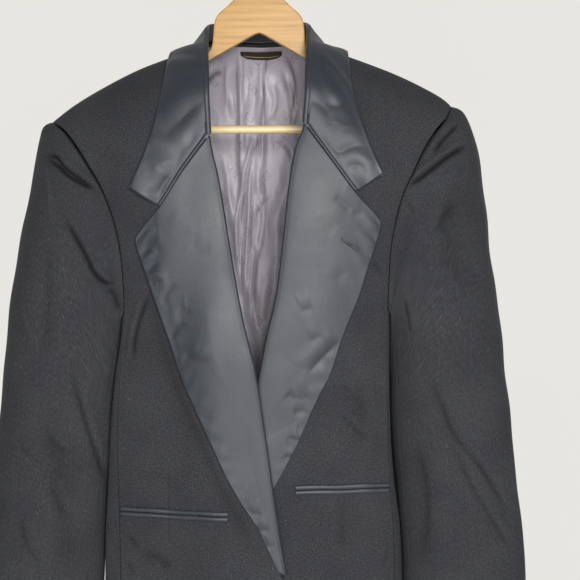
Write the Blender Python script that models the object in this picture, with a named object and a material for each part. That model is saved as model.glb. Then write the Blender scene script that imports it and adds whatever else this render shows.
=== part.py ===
"""Single-breasted evening jacket with satin collar and lapels, hanging on a flat wooden hanger."""
import math

import bmesh
import bpy
import numpy as np

# ---------------------------------------------------------------- interpolation

def smooth(t):
    t = np.clip(t, 0.0, 1.0)
    return t * t * (3.0 - 2.0 * t)


def monotone(xs, ys, at):
    """Cubic through the rows that never overshoots them; xs may rise or fall."""
    xs, ys = np.asarray(xs, float), np.asarray(ys, float)
    if xs[0] > xs[-1]:
        xs, ys = xs[::-1], ys[::-1]
    at = np.clip(np.asarray(at, float), xs[0], xs[-1])
    h, d = np.diff(xs), np.diff(ys) / np.diff(xs)
    m = np.zeros(len(xs))
    m[0], m[-1] = d[0], d[-1]
    for i in range(1, len(xs) - 1):
        if d[i - 1] * d[i] > 0:
            a, b = 2 * h[i] + h[i - 1], h[i] + 2 * h[i - 1]
            m[i] = (a + b) / (a / d[i - 1] + b / d[i])
    i = np.clip(np.searchsorted(xs, at, side="right") - 1, 0, len(xs) - 2)
    t = (at - xs[i]) / h[i]
    return ((1 + 2 * t) * (1 - t) ** 2 * ys[i] + t * (1 - t) ** 2 * h[i] * m[i]
            + t * t * (3 - 2 * t) * ys[i + 1] + t * t * (t - 1) * h[i] * m[i + 1])


class Table:
    """A short table with named columns, read by smooth interpolation along any one of them."""

    def __init__(self, names, *rows):
        self.columns = {n: np.array([r[i] for r in rows], float) for i, n in enumerate(names.split())}

    def read(self, column, by, at):
        return monotone(self.columns[by], self.columns[column], at)

    def curve(self, names, count_or_t):
        """Points along the rows at equal shares of their length, or at the given shares."""
        pts = np.stack([self.columns[n] for n in names.split()], 1)
        run = np.concatenate([[0], np.cumsum(np.linalg.norm(np.diff(pts, axis=0), axis=1))])
        t = np.linspace(0, 1, count_or_t) if np.isscalar(count_or_t) else np.asarray(count_or_t, float)
        return np.stack([monotone(run / run[-1], pts[:, k], t) for k in range(pts.shape[1])], -1)


# ---------------------------------------------------------------- sizes, in millimetres
# Own-side distance "e" is measured from the middle of the jacket towards the side that a
# piece belongs to, so a front edge that laps past the middle has a negative e.
# "right" and "left" are the wearer's: right is -X, left is +X. The front faces -Y.

WALL = 2.0            # shell cloth with its canvas
SEAM = 0.7            # half the gap at a seam
RIDGE_Y = 4.0         # the shoulder seam sits just behind the middle
HEM_Z = -890.0
LAP = 12.5            # how far the wearer's right front stands in front of the left where it laps over
SIGN = {"right": -1.0, "left": 1.0}

# Height of the shoulder line over its distance out, from the back neck to the sleeve seam.
RIDGE = {
    "right": Table("e z", (0, -95), (30, -99), (50, -110), (66, -125), (85, -133.5), (102, -140), (141, -155), (181, -175), (221, -199), (247, -219)),
    "left": Table("e z", (0, -95), (30, -99), (50, -110), (66, -125), (85, -133), (104, -139.5), (133, -150), (168, -164), (199, -179), (221, -192), (230, -200)),
}
# Front edge: neck point, roll line of the lapel, button, then the rounded corner of the hem.
FRONT_EDGE = {
    "right": Table("e z", (66, -125), (58, -160), (55, -242), (45, -291), (28, -393), (17, -452), (3, -511), (-10, -595), (-23, -688), (-33, -752), (-37, -800), (-33, -835), (-18, -864), (8, -882), (42, -889)),
    "left": Table("e z", (66, -125), (56, -160), (53, -229), (44, -254), (37, -291), (29, -363), (21, -426), (11, -469), (2, -515), (-11, -590), (-23, -675), (-33, -738), (-37, -790), (-33, -825), (-18, -856), (8, -876), (42, -884)),
}
# Outer edge of the front: armhole, then the seam to the side panel.
FRONT_OUT = {
    "right": Table("z e", (-219, 247), (-233, 231), (-257, 212), (-281, 196), (-300, 184), (-322, 174), (-346, 166), (-372, 160.5), (-405, 157), (-445, 155.5), (-520, 161), (-592, 164), (-700, 161.5), (-760, 160.5), (-890, 168)),
    "left": Table("z e", (-200, 230), (-219, 221.5), (-237, 207), (-261, 192), (-287, 179), (-310, 168), (-339, 160), (-370, 154.5), (-405, 152), (-440, 150.5), (-520, 150), (-592, 151), (-640, 153), (-700, 158), (-760, 159), (-890, 166)),
}
BACK_OUT = {
    "right": Table("z e", (-219, 247), (-232, 240), (-255, 227), (-285, 212), (-320, 199), (-360, 189), (-400, 184), (-445, 181), (-520, 178), (-600, 176), (-700, 177), (-800, 182), (-890, 188)),
    "left": Table("z e", (-200, 230), (-215, 226), (-240, 217), (-270, 206), (-310, 194), (-355, 186), (-400, 181), (-440, 178.5), (-520, 176), (-600, 175), (-700, 177), (-800, 182), (-890, 188)),
}
UNDERARM_Z = {"right": -445.0, "left": -440.0}
# How far the front and the back stand off the middle plane.
DEPTH = Table("z front back", (-90, 68, 72), (-200, 75, 80), (-300, 79, 85), (-400, 79, 84), (-500, 75, 77), (-600, 69, 69), (-700, 67, 68), (-800, 69, 74), (-890, 72, 80))
# Side panel, pushed in by the hanging sleeve: the roll in front and the hollow behind it.
SIDE_FORM = {
    "right": Table("z roll hollow", (-445, 0, 147), (-480, 2, 147.5), (-520, 5, 149), (-592, 9, 154), (-700, 10, 159), (-800, 10, 165), (-890, 10, 172)),
    "left": Table("z roll hollow", (-440, 0, 142), (-480, 1, 141.5), (-520, 2, 141), (-592, 3, 143), (-700, 6, 152), (-800, 9, 162), (-890, 10, 170)),
}
# Sleeve rings from the armhole down: outer and inner ends, middle and half depth in Y,
# and how much of the armhole's own shape is left in the ring.
SLEEVE = {
    "right": Table("n eo zo ei zi ym yh scye",
        (0, 247, -219, 148, -445, -4, 56, 1.0), (1, 256, -225, 149, -450, -5, 58, 0.93), (2, 261, -243, 150.5, -454, -6, 60, 0.84),
        (3, 266, -274, 152, -458, -8, 62, 0.70), (4, 273, -316, 153.5, -463, -10, 62, 0.52), (5, 281, -362, 155, -470, -12, 61, 0.33),
        (6, 289, -412, 157, -482, -14, 59, 0.15), (7, 295, -468, 160, -503, -15, 54, 0.03), (8, 300, -525, 166, -537, -16, 48, 0.0),
        (9, 305, -588, 171, -592, -17, 43, 0.0), (10, 309, -655, 176.5, -656, -18, 38, 0.0), (11, 313, -740, 183, -741, -20, 34, 0.0),
        (12, 312, -800, 184, -802, -21, 32, 0.0), (13, 309, -852, 183, -857, -22, 31, 0.0)),
    "left": Table("n eo zo ei zi ym yh scye",
        (0, 230, -200, 143, -440, -4, 56, 1.0), (1, 240, -204.5, 144, -446, -5, 58, 0.93), (2, 249, -219, 145, -450, -6, 60, 0.84),
        (3, 257, -248, 146, -454, -8, 62, 0.70), (4, 264, -292, 147, -459, -10, 62, 0.52), (5, 270, -348, 148, -466, -12, 61, 0.33),
        (6, 277, -408, 149.5, -478, -14, 59, 0.15), (7, 284, -464, 151, -500, -15, 54, 0.03), (8, 291, -530, 154, -540, -16, 48, 0.0),
        (9, 297.5, -590, 157, -595, -17, 43, 0.0), (10, 304, -655, 164, -658, -18, 38, 0.0), (11, 312, -735, 178, -738, -20, 34, 0.0),
        (12, 312, -795, 181, -799, -21, 32, 0.0), (13, 310, -848, 181, -853, -22, 31, 0.0)),
}
SLEEVE_SEAMS = (0.855, 1.52)   # front and back seam, in half turns from the outside over the front
# Lapel outer edge from its corner down to the end of the roll, and the gorge seam above it.
LAPEL_EDGE = {
    "right": Table("e z", (139.5, -360), (140, -364), (139, -369), (125, -409), (112, -447), (100, -481), (87, -519), (70, -557), (53, -595), (36, -633), (19, -663), (-3, -697), (-17, -728), (-31, -756)),
    "left": Table("e z", (139.5, -341), (140, -347), (139, -352), (126, -393), (116, -426), (97, -473), (82, -519), (69, -543), (59, -566), (44, -600), (25, -636), (2, -676), (-14, -710), (-31, -742)),
}
GORGE = {   # from the roll line out to the notch, then on to the lapel's corner
    "right": Table("e z", (55, -242), (83, -280), (112, -325), (127, -343), (137, -356), (139.5, -360)),
    "left": Table("e z", (53, -229), (84, -271), (115, -312), (128, -326), (136.5, -335.5), (139.5, -341)),
}
# Collar fold: from the notch up the gorge seam, then round the neck to the middle of the back.
COLLAR_IN = {
    "right": Table("e z y", (112, -324, -76), (83, -279.5, -77), (55, -241, -77.5), (57, -200, -77.5), (58, -170, -69), (60, -145, -49), (61.5, -122, -20), (62, -104, 8), (57, -97, 34), (36, -94, 54), (0, -93, 62)),
    "left": Table("e z y", (115, -311, -76), (84, -270.5, -77), (53, -228, -77.5), (55.5, -195, -77.5), (56, -168, -69), (57, -143, -49), (58, -120, -20), (58.5, -102, 8), (53, -95, 34), (34, -93, 54), (0, -93, 62)),
}
# Collar outer edge: "around" is the signed root of the drop below the shoulder line, - in front.
COLLAR_OUT = {
    "right": Table("e around lift", (145, -12.0, 9), (133, -11.05, 7), (122, -9.75, 6), (114, -8.3, 5), (109, -6.4, 4), (105.5, -3.6, 5), (102, 0, 5.5), (97, 3.2, 5), (84, 4.4, 4), (60, 5.5, 4), (30, 6.65, 4), (0, 6.9, 4)),
    "left": Table("e around lift", (141, -11.5, 9), (133, -10.85, 7), (123, -9.75, 6), (112, -8.1, 5), (106, -6.2, 4), (104.5, -3.6, 5), (103, 0, 5.5), (97, 3.2, 5), (84, 4.4, 4), (60, 5.5, 4), (30, 6.65, 4), (0, 6.9, 4)),
}
NECK_BACK = Table("e z", (0, -118), (25, -118), (45, -119), (58, -122), (66, -125))   # back neck seam


# ---------------------------------------------------------------- the body's surface

def ridge_z(side, e):
    return RIDGE[side].read("z", "e", np.maximum(e, 0.0))


def profile(drop, full):
    """Share of the full depth reached at a drop below the shoulder line."""
    return np.clip(1.0 - (1.0 - np.clip(drop / full, 0.0, 1.0)) ** 2, 0.0, 1.0) ** 0.62


def front_y(side, e, z):
    e, z = np.asarray(e, float), np.asarray(z, float)
    drop = np.maximum(ridge_z(side, e) - z, 0.0)
    share = profile(drop, 90.0 + 60.0 * smooth((e - 50.0) / 80.0))
    q = np.clip(np.abs(e) / FRONT_OUT[side].read("e", "z", z), 0.0, 1.15)
    y = RIDGE_Y * (1 - share) - DEPTH.read("front", "z", z) * share * (1 - 0.30 * q ** 3)
    if side == "right":   # this front laps over the other one
        y = y - LAP * smooth((105.0 - e) / 65.0) * smooth((-320.0 - z) / 190.0)
    return y


def back_y(side, e, z):
    e, z = np.asarray(e, float), np.asarray(z, float)
    drop = np.maximum(ridge_z(side, e) - z, 0.0)
    share = profile(drop, 60.0 + 75.0 * smooth(e / 100.0))
    q = np.clip(np.abs(e) / BACK_OUT[side].read("e", "z", z), 0.0, 1.15)
    return RIDGE_Y * (1 - share) + DEPTH.read("back", "z", z) * share * (1 - 0.25 * q ** 3)


def drops(v, height, first, share=0.34):
    """Drop below the top row: close rows over the shoulder, then even ones to the hem."""
    v = np.asarray(v, float)
    low = first * (1 - np.cos(np.clip(v / share, 0, 1) * np.pi / 2))
    return np.where(v < share, low, first + (height - first) * np.clip((v - share) / (1 - share), 0, 1))


def edge_at(table, z):
    return table.read("e", "z", z)


def front_panel(side, us, vs, inset=5.0):
    """Grid of the front, us from the roll line out, vs from the shoulder down. (rows, columns, 3) in e, y, z."""
    run = FRONT_EDGE[side]
    fe, fz = run.columns["e"], run.columns["z"]
    top_in, top_out = fz[0], ridge_z(side, FRONT_OUT[side].columns["e"][0])
    zi = np.maximum(top_in - drops(vs, top_in - fz[-1], 110.0), fz[-1])
    ei = run.read("e", "z", zi) + inset * smooth((top_in - zi) / 30.0)
    ei = np.where(zi < -770, ei - inset * smooth((-770 - zi) / 30.0), ei)
    zo = top_out - drops(vs, top_out - HEM_Z, 110.0)
    eo = FRONT_OUT[side].read("e", "z", zo)
    u = np.asarray(us, float)[None, :]
    e = ei[:, None] * (1 - u) + eo[:, None] * u
    bow = ridge_z(side, e) - (ridge_z(side, fe[0]) + (top_out - ridge_z(side, fe[0])) * (e - fe[0]) / (FRONT_OUT[side].columns["e"][0] - fe[0]))
    z = zi[:, None] * (1 - u) + zo[:, None] * u + bow * (1 - smooth(np.asarray(vs) / 0.45))[:, None]
    z = np.minimum(z, ridge_z(side, e))
    return np.stack([e, front_y(side, e, z), z], -1)


def back_panel(side, us, vs, neck_share=0.27):
    """Grid of half the back, us from its middle seam out, vs from the neck and shoulder down."""
    us, vs = np.asarray(us, float), np.asarray(vs, float)
    s_e, s_z = BACK_OUT[side].columns["e"][0], ridge_z(side, BACK_OUT[side].columns["e"][0])
    n_e = NECK_BACK.columns["e"][-1]
    top_e = np.where(us < neck_share, n_e * us / neck_share, n_e + (s_e - n_e) * (us - neck_share) / (1 - neck_share))
    top_z = np.where(top_e < n_e, NECK_BACK.read("z", "e", top_e), ridge_z(side, top_e))
    zo = s_z - drops(vs, s_z - HEM_Z, 110.0)
    zi = top_z[0] - drops(vs, top_z[0] - HEM_Z, 110.0)
    eo = BACK_OUT[side].read("e", "z", zo)
    u = us[None, :]
    bow = top_z - (top_z[0] * (1 - us) + s_z * us)
    z = zi[:, None] * (1 - u) + zo[:, None] * u + bow[None, :] * (1 - smooth(vs / 0.45))[:, None]
    low = smooth((vs - 0.1) / 0.5)[:, None]
    e = top_e[None, :] * (1 - low) + u * eo[:, None] * low
    # the armhole pulls the outer columns in from the first row on
    e = e - (top_e[-1] * (1 - low) + eo[:, None] * low - eo[:, None]) * np.clip((u - 0.55) / 0.45, 0, 1) ** 1.5
    z = np.maximum(z, HEM_Z)
    z = np.minimum(z, np.where(e < n_e, NECK_BACK.read("z", "e", e), ridge_z(side, e)))
    return np.stack([e, back_y(side, e, z), z], -1)


def through(points, counts):
    """Catmull-Rom through points (k, ..., 3) from the second to the one before last, counts per span."""
    out = []
    for i in range(1, len(points) - 2):
        a, b, c, d = points[i - 1:i + 3]
        t = np.linspace(0, 1, counts[i - 1] + 1)[:-1]
        t = t.reshape((-1,) + (1,) * (a.ndim))
        out.append(0.5 * ((2 * b) + (c - a) * t + (2 * a - 5 * b + 4 * c - d) * t ** 2 + (3 * b - a - 3 * c + d) * t ** 3))
    out.append(points[-2][None])
    return np.concatenate(out)


def side_section(side, z, per_span=6):
    """Curve of the side panel at heights z, from the front seam to the back seam: (points, heights, 3)."""
    z = np.asarray(z, float)
    ef, eb = FRONT_OUT[side].read("e", "z", z), BACK_OUT[side].read("e", "z", z)
    yf, yb = front_y(side, ef, z), back_y(side, eb, z)
    roll, hollow = SIDE_FORM[side].read("roll", "z", z), SIDE_FORM[side].read("hollow", "z", z)
    pre = np.stack([ef - 16, front_y(side, ef - 16, z), z], -1)
    post = np.stack([eb - 24, back_y(side, eb - 24, z), z], -1)
    pts = np.stack([
        pre,
        np.stack([ef, yf, z], -1),
        np.stack([ef + roll, yf + 11, z], -1),
        np.stack([hollow + 1.0, yf * 0.25 - 6, z], -1),
        np.stack([hollow + 4.0, 0.35 * yb + 4, z], -1),
        np.stack([eb, yb, z], -1),
        post,
    ])
    return through(pts, [per_span] * 5)


def side_panel(side, columns, heights, per_span=6):
    curve = side_section(side, heights, per_span)          # (k, rows, 3)
    k = np.linspace(0, len(curve) - 1, columns)
    lo = np.clip(np.floor(k).astype(int), 0, len(curve) - 2)
    t = (k - lo)[:, None, None]
    return np.swapaxes(curve[lo] * (1 - t) + curve[lo + 1] * t, 0, 1)


def armhole(side, count):
    """Closed armhole curve from the shoulder, down the front, under and up the back: count + 1 points."""
    s_e, u_z = FRONT_OUT[side].columns["e"][0], UNDERARM_Z[side]
    s_z = ridge_z(side, s_e)
    t = np.linspace(0, 1, 60)
    zf = s_z + (u_z - s_z) * (1 - np.cos(t * np.pi / 2)) ** 0.9
    ef = FRONT_OUT[side].read("e", "z", zf)
    front = np.stack([ef, front_y(side, ef, zf), zf], -1)
    eb = BACK_OUT[side].read("e", "z", zf)
    back = np.stack([eb, back_y(side, eb, zf), zf], -1)
    under = side_section(side, np.array([u_z]), 8)[:, 0]
    halves = [np.concatenate([front[:-1], under[:len(under) // 2 + 1]]), np.concatenate([under[len(under) // 2:], back[::-1][1:]])]
    out = []
    for h, n in zip(halves, (count // 2, count - count // 2)):
        run = np.concatenate([[0], np.cumsum(np.linalg.norm(np.diff(h, axis=0), axis=1))])
        at = np.linspace(0, run[-1], n + 1)
        out.append(np.stack([np.interp(at, run, h[:, c]) for c in range(3)], -1))
    return np.concatenate([out[0], out[1][1:]])


def superellipse(phi, n=2.25):
    c, s = np.cos(phi), np.sin(phi)
    return np.sign(c) * np.abs(c) ** (2 / n), np.sign(s) * np.abs(s) ** (2 / n)


def sleeve_ring(side, n, phi):
    """Points of the sleeve at ring number n (any fraction) and angles phi from the outside over the front."""
    t = SLEEVE[side]
    n = np.asarray(n, float)
    get = lambda name: t.read(name, "n", n)[..., None]
    co, si = superellipse(phi)
    e = (get("eo") + get("ei")) / 2 + (get("eo") - get("ei")) / 2 * co
    z = (get("zo") + get("zi")) / 2 + (get("zo") - get("zi")) / 2 * co
    y = get("ym") - get("yh") * si
    p = np.stack([e + 0 * y, y, z + 0 * y], -1)
    first = {c: t.columns[c][0] for c in t.columns}
    e0 = (first["eo"] + first["ei"]) / 2 + (first["eo"] - first["ei"]) / 2 * co
    z0 = (first["zo"] + first["zi"]) / 2 + (first["zo"] - first["zi"]) / 2 * co
    p0 = np.stack([e0, first["ym"] - first["yh"] * si, z0], -1)
    hole = armhole(side, 240)
    at = (np.asarray(phi) / (2 * np.pi) % 1.0) * 240
    lo = np.floor(at).astype(int) % 240
    a = hole[lo] + (hole[lo + 1] - hole[lo]) * (at - np.floor(at))[:, None]
    return p + get("scye")[..., None] * (a - p0)


def body_point(side, e, around):
    """A point of the shell at own-side distance e and a signed root of drop below the shoulder line."""
    e, around = np.asarray(e, float), np.asarray(around, float)
    z = ridge_z(side, e) - around ** 2
    y = np.where(around < 0, front_y(side, e, z), back_y(side, e, z))
    return np.stack([e, y, z], -1)


def unit(v):
    return v / np.maximum(np.linalg.norm(v, axis=-1, keepdims=True), 1e-9)


def shell_normal(side, e, z, at_back=False):
    """Outward normal of the front or the back."""
    f, d = (back_y if at_back else front_y), 0.5
    du = np.stack([np.full_like(e, 2 * d), f(side, e + d, z) - f(side, e - d, z), np.zeros_like(e)], -1)
    dv = np.stack([np.zeros_like(e), f(side, e, z + d) - f(side, e, z - d), np.full_like(e, 2 * d)], -1)
    n = unit(np.cross(du, dv))
    return n * np.where((n[..., 1:2] > 0) == at_back, 1.0, -1.0)


def on_shell(side, e, z, out, at_back=False):
    """Points of the front or back, moved out along its normal."""
    e, z = np.asarray(e, float), np.asarray(z, float)
    y = (back_y if at_back else front_y)(side, e, z)
    return np.stack([e, y, z], -1) + shell_normal(side, e, z, at_back) * np.asarray(out, float)[..., None]


def body_normal(side, e, around):
    du = body_point(side, e + 1.0, around) - body_point(side, e - 1.0, around)
    dv = body_point(side, e, around + 0.05) - body_point(side, e, around - 0.05)
    n = unit(np.cross(du, dv))
    return n


NOTCH_SHARE = {"right": 0.690, "left": 0.690}   # how far along the gorge the collar ends


def gorge_point(side, share, out=1.5):
    """Point of the gorge seam at a share of its length, moved to the collar's side of it."""
    g = GORGE[side]
    p, q = g.curve("e z", share), g.curve("e z", share + 0.002)
    d = unit(q - p)
    return p + np.stack([-d[..., 1], d[..., 0]], -1) * out


def collar_ribs(side, ts):
    """Inner and outer ends of the collar's fall at shares ts from the notch to the middle of the back."""
    ts = np.asarray(ts, float)
    cin, cout = COLLAR_IN[side], COLLAR_OUT[side]
    k_in = np.linspace(0, 1, len(cin.columns["e"]))
    k_out = np.linspace(0, 1, len(cout.columns["e"]))
    e, z, y = (monotone(k_in, cin.columns[c], ts) for c in "e z y".split())
    seam = gorge_point(side, NOTCH_SHARE[side] * (1 - np.clip(ts / 0.2, 0, 1)))
    low = ts <= 0.2
    e, z = np.where(low, seam[..., 0], e), np.where(low, seam[..., 1], z)
    on = front_y(side, e, z) - 1.0
    w = smooth((ts - 0.2) / 0.1)
    y = y * w + on * (1 - w)
    inner = np.stack([e, y, z], -1)
    eo, ar, lift = (monotone(k_out, cout.columns[c], ts) for c in "e around lift".split())
    n = body_normal(side, eo, ar)
    outer = body_point(side, eo, ar) + n * lift[:, None]
    return inner, outer, n


# ---------------------------------------------------------------- grids into solids

def grid_normals(g):
    du = np.gradient(g, axis=1)
    dv = np.gradient(g, axis=0)
    return unit(np.cross(du, dv))


def inset(g, gap, top=True, bottom=True, first=True, last=True):
    """Draw the chosen edges of a grid in by a gap, for the seams."""
    g = g.copy()
    if first:
        g[:, 0] += unit(g[:, 1] - g[:, 0]) * gap
    if last:
        g[:, -1] += unit(g[:, -2] - g[:, -1]) * gap
    if top:
        g[0] += unit(g[1] - g[0]) * gap
    if bottom:
        g[-1] += unit(g[-2] - g[-1]) * gap
    return g


def material(name, colour, rough, metal=0.0):
    m = bpy.data.materials.new(name)
    m.use_nodes = True
    p = m.node_tree.nodes["Principled BSDF"]
    p.inputs["Base Color"].default_value = (*colour, 1.0)
    p.inputs["Roughness"].default_value = rough
    p.inputs["Metallic"].default_value = metal
    return m


def add_mesh(name, verts, faces, mat, smooth_faces=True):
    """A closed mesh in millimetres, turned right side out, placed in metres."""
    v = np.asarray(verts, float)
    vol = 0.0
    for f in faces:
        for k in range(1, len(f) - 1):
            vol += float(np.dot(v[f[0]], np.cross(v[f[k]], v[f[k + 1]])))
    if vol < 0:
        faces = [tuple(reversed(f)) for f in faces]
    me = bpy.data.meshes.new(name)
    me.from_pydata((v / 1000.0).tolist(), [], [tuple(map(int, f)) for f in faces])
    me.update()
    ob = bpy.data.objects.new(name, me)
    bpy.context.collection.objects.link(ob)
    me.materials.append(MATERIALS[mat])
    if smooth_faces:
        me.shade_smooth()
    return ob


def sheet_solid(name, outer, inner, mat):
    """Closed solid between two grids of the same shape."""
    r, c, _ = outer.shape
    verts = np.concatenate([outer.reshape(-1, 3), inner.reshape(-1, 3)])
    idx = np.arange(r * c).reshape(r, c)
    n = r * c
    faces = []
    for i in range(r - 1):
        for j in range(c - 1):
            a, b, d, e = idx[i, j], idx[i, j + 1], idx[i + 1, j + 1], idx[i + 1, j]
            faces += [(a, b, d), (a, d, e), (n + a, n + d, n + b), (n + a, n + e, n + d)]
    rim = list(idx[0, :]) + list(idx[1:, -1]) + list(idx[-1, -2::-1]) + list(idx[-2:0:-1, 0])
    for a, b in zip(rim, rim[1:] + rim[:1]):
        faces += [(a, n + a, b), (b, n + a, n + b)]
    return add_mesh(name, verts, faces, mat)


def world(g, side):
    g = g.copy()
    g[..., 0] *= SIGN[side]
    return g


def wall_directions(g, towards, closed=False):
    """Unit directions through the wall, pointing inwards."""
    if closed:
        w = np.concatenate([g[:, -2:-1], g, g[:, 1:2]], 1)
        n = grid_normals(w)[:, 1:-1]
    else:
        n = grid_normals(g)
    return n * (1.0 if np.sum(n * (towards - g)) > 0 else -1.0)


def mitre(n, column, z, z_other, n_other, below):
    """Share one direction along a seam between two pieces, from a height down."""
    other = unit(np.stack([np.interp(-z, -z_other, n_other[:, k]) for k in range(3)], -1))
    both = unit(n[:, column] + other)
    both = both / np.maximum(np.sum(both * n[:, column], -1, keepdims=True), 0.6)
    return np.where((z < below)[:, None], both, n[:, column])


MID = np.array([60.0, 0.0, -480.0])


def ribbon(name, mid, thickness, mat, side=None):
    """Solid of even thickness about a middle grid."""
    n = grid_normals(mid) * thickness / 2
    a, b = mid + n, mid - n
    if side:
        a, b = world(a, side), world(b, side)
    return sheet_solid(name, a, b, mat)


# ---------------------------------------------------------------- satin: lapels and collar

FOLD_R = 2.7
ARC = np.radians([-90, -45, 0, 45, 90])


def fold_path(apex, legs_out, legs_in, end, share, slide, r=FOLD_R, count=6):
    """Points round a fold from its outer side, over the apex and down the inner leg to its end.

    Only a share of the way is walked, so that the seam can wrap round the fold."""
    b = unit(legs_out + legs_in)
    p = unit(legs_out - b * np.sum(legs_out * b, -1, keepdims=True))
    c = apex + b * r - legs_out * slide[:, None]
    out = []
    for k in range(len(apex)):
        angles = np.radians(np.linspace(90, -90, 13))
        arc = c[k] + (-b[k] * np.cos(angles)[:, None] + p[k] * np.sin(angles)[:, None]) * r
        way = np.concatenate([arc, end[k][None]])
        run = np.concatenate([[0], np.cumsum(np.linalg.norm(np.diff(way, axis=0), axis=1))])
        bend = np.pi * r
        full = np.array([0, bend * 0.25, bend * 0.5, bend * 0.75, bend, bend + (run[-1] - bend) * 0.5, run[-1]])[:count + 1]
        least = np.linspace(0, 2.4, count + 1)
        at = least * (1 - share[k]) + full * share[k]
        out.append(np.stack([np.interp(at, run, way[:, a]) for a in range(3)], -1))
    return np.swapaxes(np.array(out), 0, 1)[::-1]          # from the far end of the leg to the outer side


LAPEL_LIFT = Table("v belly edge", (0, 3.0, 3.0), (0.25, 3.4, 2.5), (0.5, 2.2, 1.0), (0.75, 1.2, 0.4), (1, 0.4, 0.0))


def lapel_grid(side, vs, shares):
    """Middle surface of the lapel, from its short return round the fold and out to its edge."""
    vs, shares = np.asarray(vs, float), np.asarray(shares, float)
    run, edge, gorge = FRONT_EDGE[side], LAPEL_EDGE[side], GORGE[side]
    z0, z1 = gorge.columns["z"][0], edge.columns["z"][-1] + 9.0
    zi = z0 + (z1 - z0) * vs
    ei = run.read("e", "z", zi)
    out = edge.curve("e z", 200)[:193]
    k = np.linspace(0, 1, len(out))
    eo, zo = np.interp(vs, k, out[:, 0]), np.interp(vs, k, out[:, 1])
    top = gorge.curve("e z", shares)
    chord = top[:1] + (top[-1:] - top[:1]) * shares[:, None]
    rows = []
    for i, v in enumerate(vs):
        start = min(3.2, 0.45 * math.hypot(eo[i] - ei[i], zo[i] - zi[i]))
        d = np.array([eo[i] - ei[i], zo[i] - zi[i]])
        run_on = start / np.linalg.norm(d) * (1 - shares)
        line = np.array([ei[i], zi[i]]) + d * (shares + run_on)[:, None]
        rows.append(line + (top - chord) * (1 - smooth(v / 0.16)))
    flat = np.array(rows)                                    # rows, shares, (e z)
    belly = LAPEL_LIFT.read("belly", "v", vs)[:, None]
    lift = LAPEL_LIFT.read("edge", "v", vs)[:, None]
    out_by = 1.75 + belly * np.sin(np.pi * np.clip(shares, 0, 1) ** 0.7) + lift * shares ** 2
    face = on_shell(side, flat[..., 0], flat[..., 1], out_by)
    return face, flat


def lapel_mid(side, rows=14, shares=(0.0, 0.16, 0.4, 0.65, 0.85, 1.0)):
    vs = np.linspace(0, 1, rows)
    shares = np.array(shares)
    face, flat = lapel_grid(side, vs, shares)
    zi = np.linspace(GORGE[side].columns["z"][0], LAPEL_EDGE[side].columns["z"][-1] + 9.0, rows)
    ei = FRONT_EDGE[side].read("e", "z", zi)
    n = shell_normal(side, ei, zi)
    along = unit(face[:, 1] - face[:, 0])
    along = unit(along - n * np.sum(along * n, -1, keepdims=True))
    r = np.interp(vs, [0, 0.9, 1], [FOLD_R, FOLD_R, 2.2])[:, None]
    c = on_shell(side, ei, zi, np.zeros(rows)) + along * (r + 0.3) - n * 1.15
    arc = [c + (-along * np.cos(a) + n * np.sin(a)) * r for a in ARC]
    back = arc[0] + along * 1.2
    return np.stack([back] + arc + [face[:, k] for k in range(1, len(shares))], 1)


def collar_half(side, ts):
    """Middle surface of half the collar: stand, fold and fall, from the notch to the middle of the back."""
    inner, outer, n_out = collar_ribs(side, ts)
    ts = np.asarray(ts, float)
    # bottom of the stand: a short return in front, the neck seam at the back
    nb_e = np.minimum(inner[:, 0] + 2.0, 64.0)
    ce = np.where(ts > 0.7, inner[:, 0], nb_e)
    front_s = np.stack([inner[:, 0] + 1.4, inner[:, 1] + 8.0, inner[:, 2] - 1.0], -1)
    be = np.clip(inner[:, 0] * 1.04, 0, 64.5)
    bz = NECK_BACK.read("z", "e", be) + 1.6
    back_s = np.stack([be, back_y(side, be, bz - 1.6) - 1.2, bz], -1)
    back_s[:, 1] = np.where(be > 60, np.maximum(back_s[:, 1], 6.0), back_s[:, 1])
    w = smooth((ts - 0.56) / 0.16)[:, None]
    stand = front_s * (1 - w) + back_s * w
    legs_out = unit(outer - inner)
    legs_in = unit(stand - inner)
    share = smooth((ts - 0.185) / 0.06)
    path = fold_path(inner, legs_out, legs_in, stand, share, 1.2 * (1 - smooth((ts - 0.17) / 0.06)))
    cols = list(path)
    start = cols[-1]
    for s in (0.25, 0.5, 0.75, 1.0):
        p = start + (outer - start) * s
        p = p + n_out * (2.6 * np.sin(np.pi * s)) * 1.0
        # never closer to the shell than its own thickness and a little
        rz = ridge_z(side, p[:, 0])
        fy = front_y(side, p[:, 0], np.minimum(p[:, 2], rz)) - 2.9
        by = back_y(side, p[:, 0], np.minimum(p[:, 2], rz)) + 2.9
        in_front = (p[:, 1] < RIDGE_Y) & (p[:, 2] < rz + 1.0)
        behind = (p[:, 1] >= RIDGE_Y) & (p[:, 2] < rz + 1.0)
        p[:, 1] = np.where(in_front, np.minimum(p[:, 1], fy), p[:, 1])
        p[:, 1] = np.where(behind, np.maximum(p[:, 1], by), p[:, 1])
        cols.append(p)
    return np.stack(cols, 1)


# ---------------------------------------------------------------- build

for ob in list(bpy.data.objects):
    bpy.data.objects.remove(ob, do_unlink=True)

MATERIALS = {
    "wool": material("black_wool", (0.030, 0.031, 0.035), 0.85),
    "satin": material("black_satin", (0.075, 0.082, 0.092), 0.35),
    "lining": material("mauve_lining", (0.36, 0.32, 0.36), 0.4),
    "label": material("label_cloth", (0.03, 0.03, 0.03), 0.6),
    "wood": material("pale_wood", (0.72, 0.44, 0.16), 0.35),
    "bar": material("bar_wood", (0.85, 0.68, 0.36), 0.4),
    "steel": material("hook_steel", (0.75, 0.75, 0.76), 0.25, 1.0),
}

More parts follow.
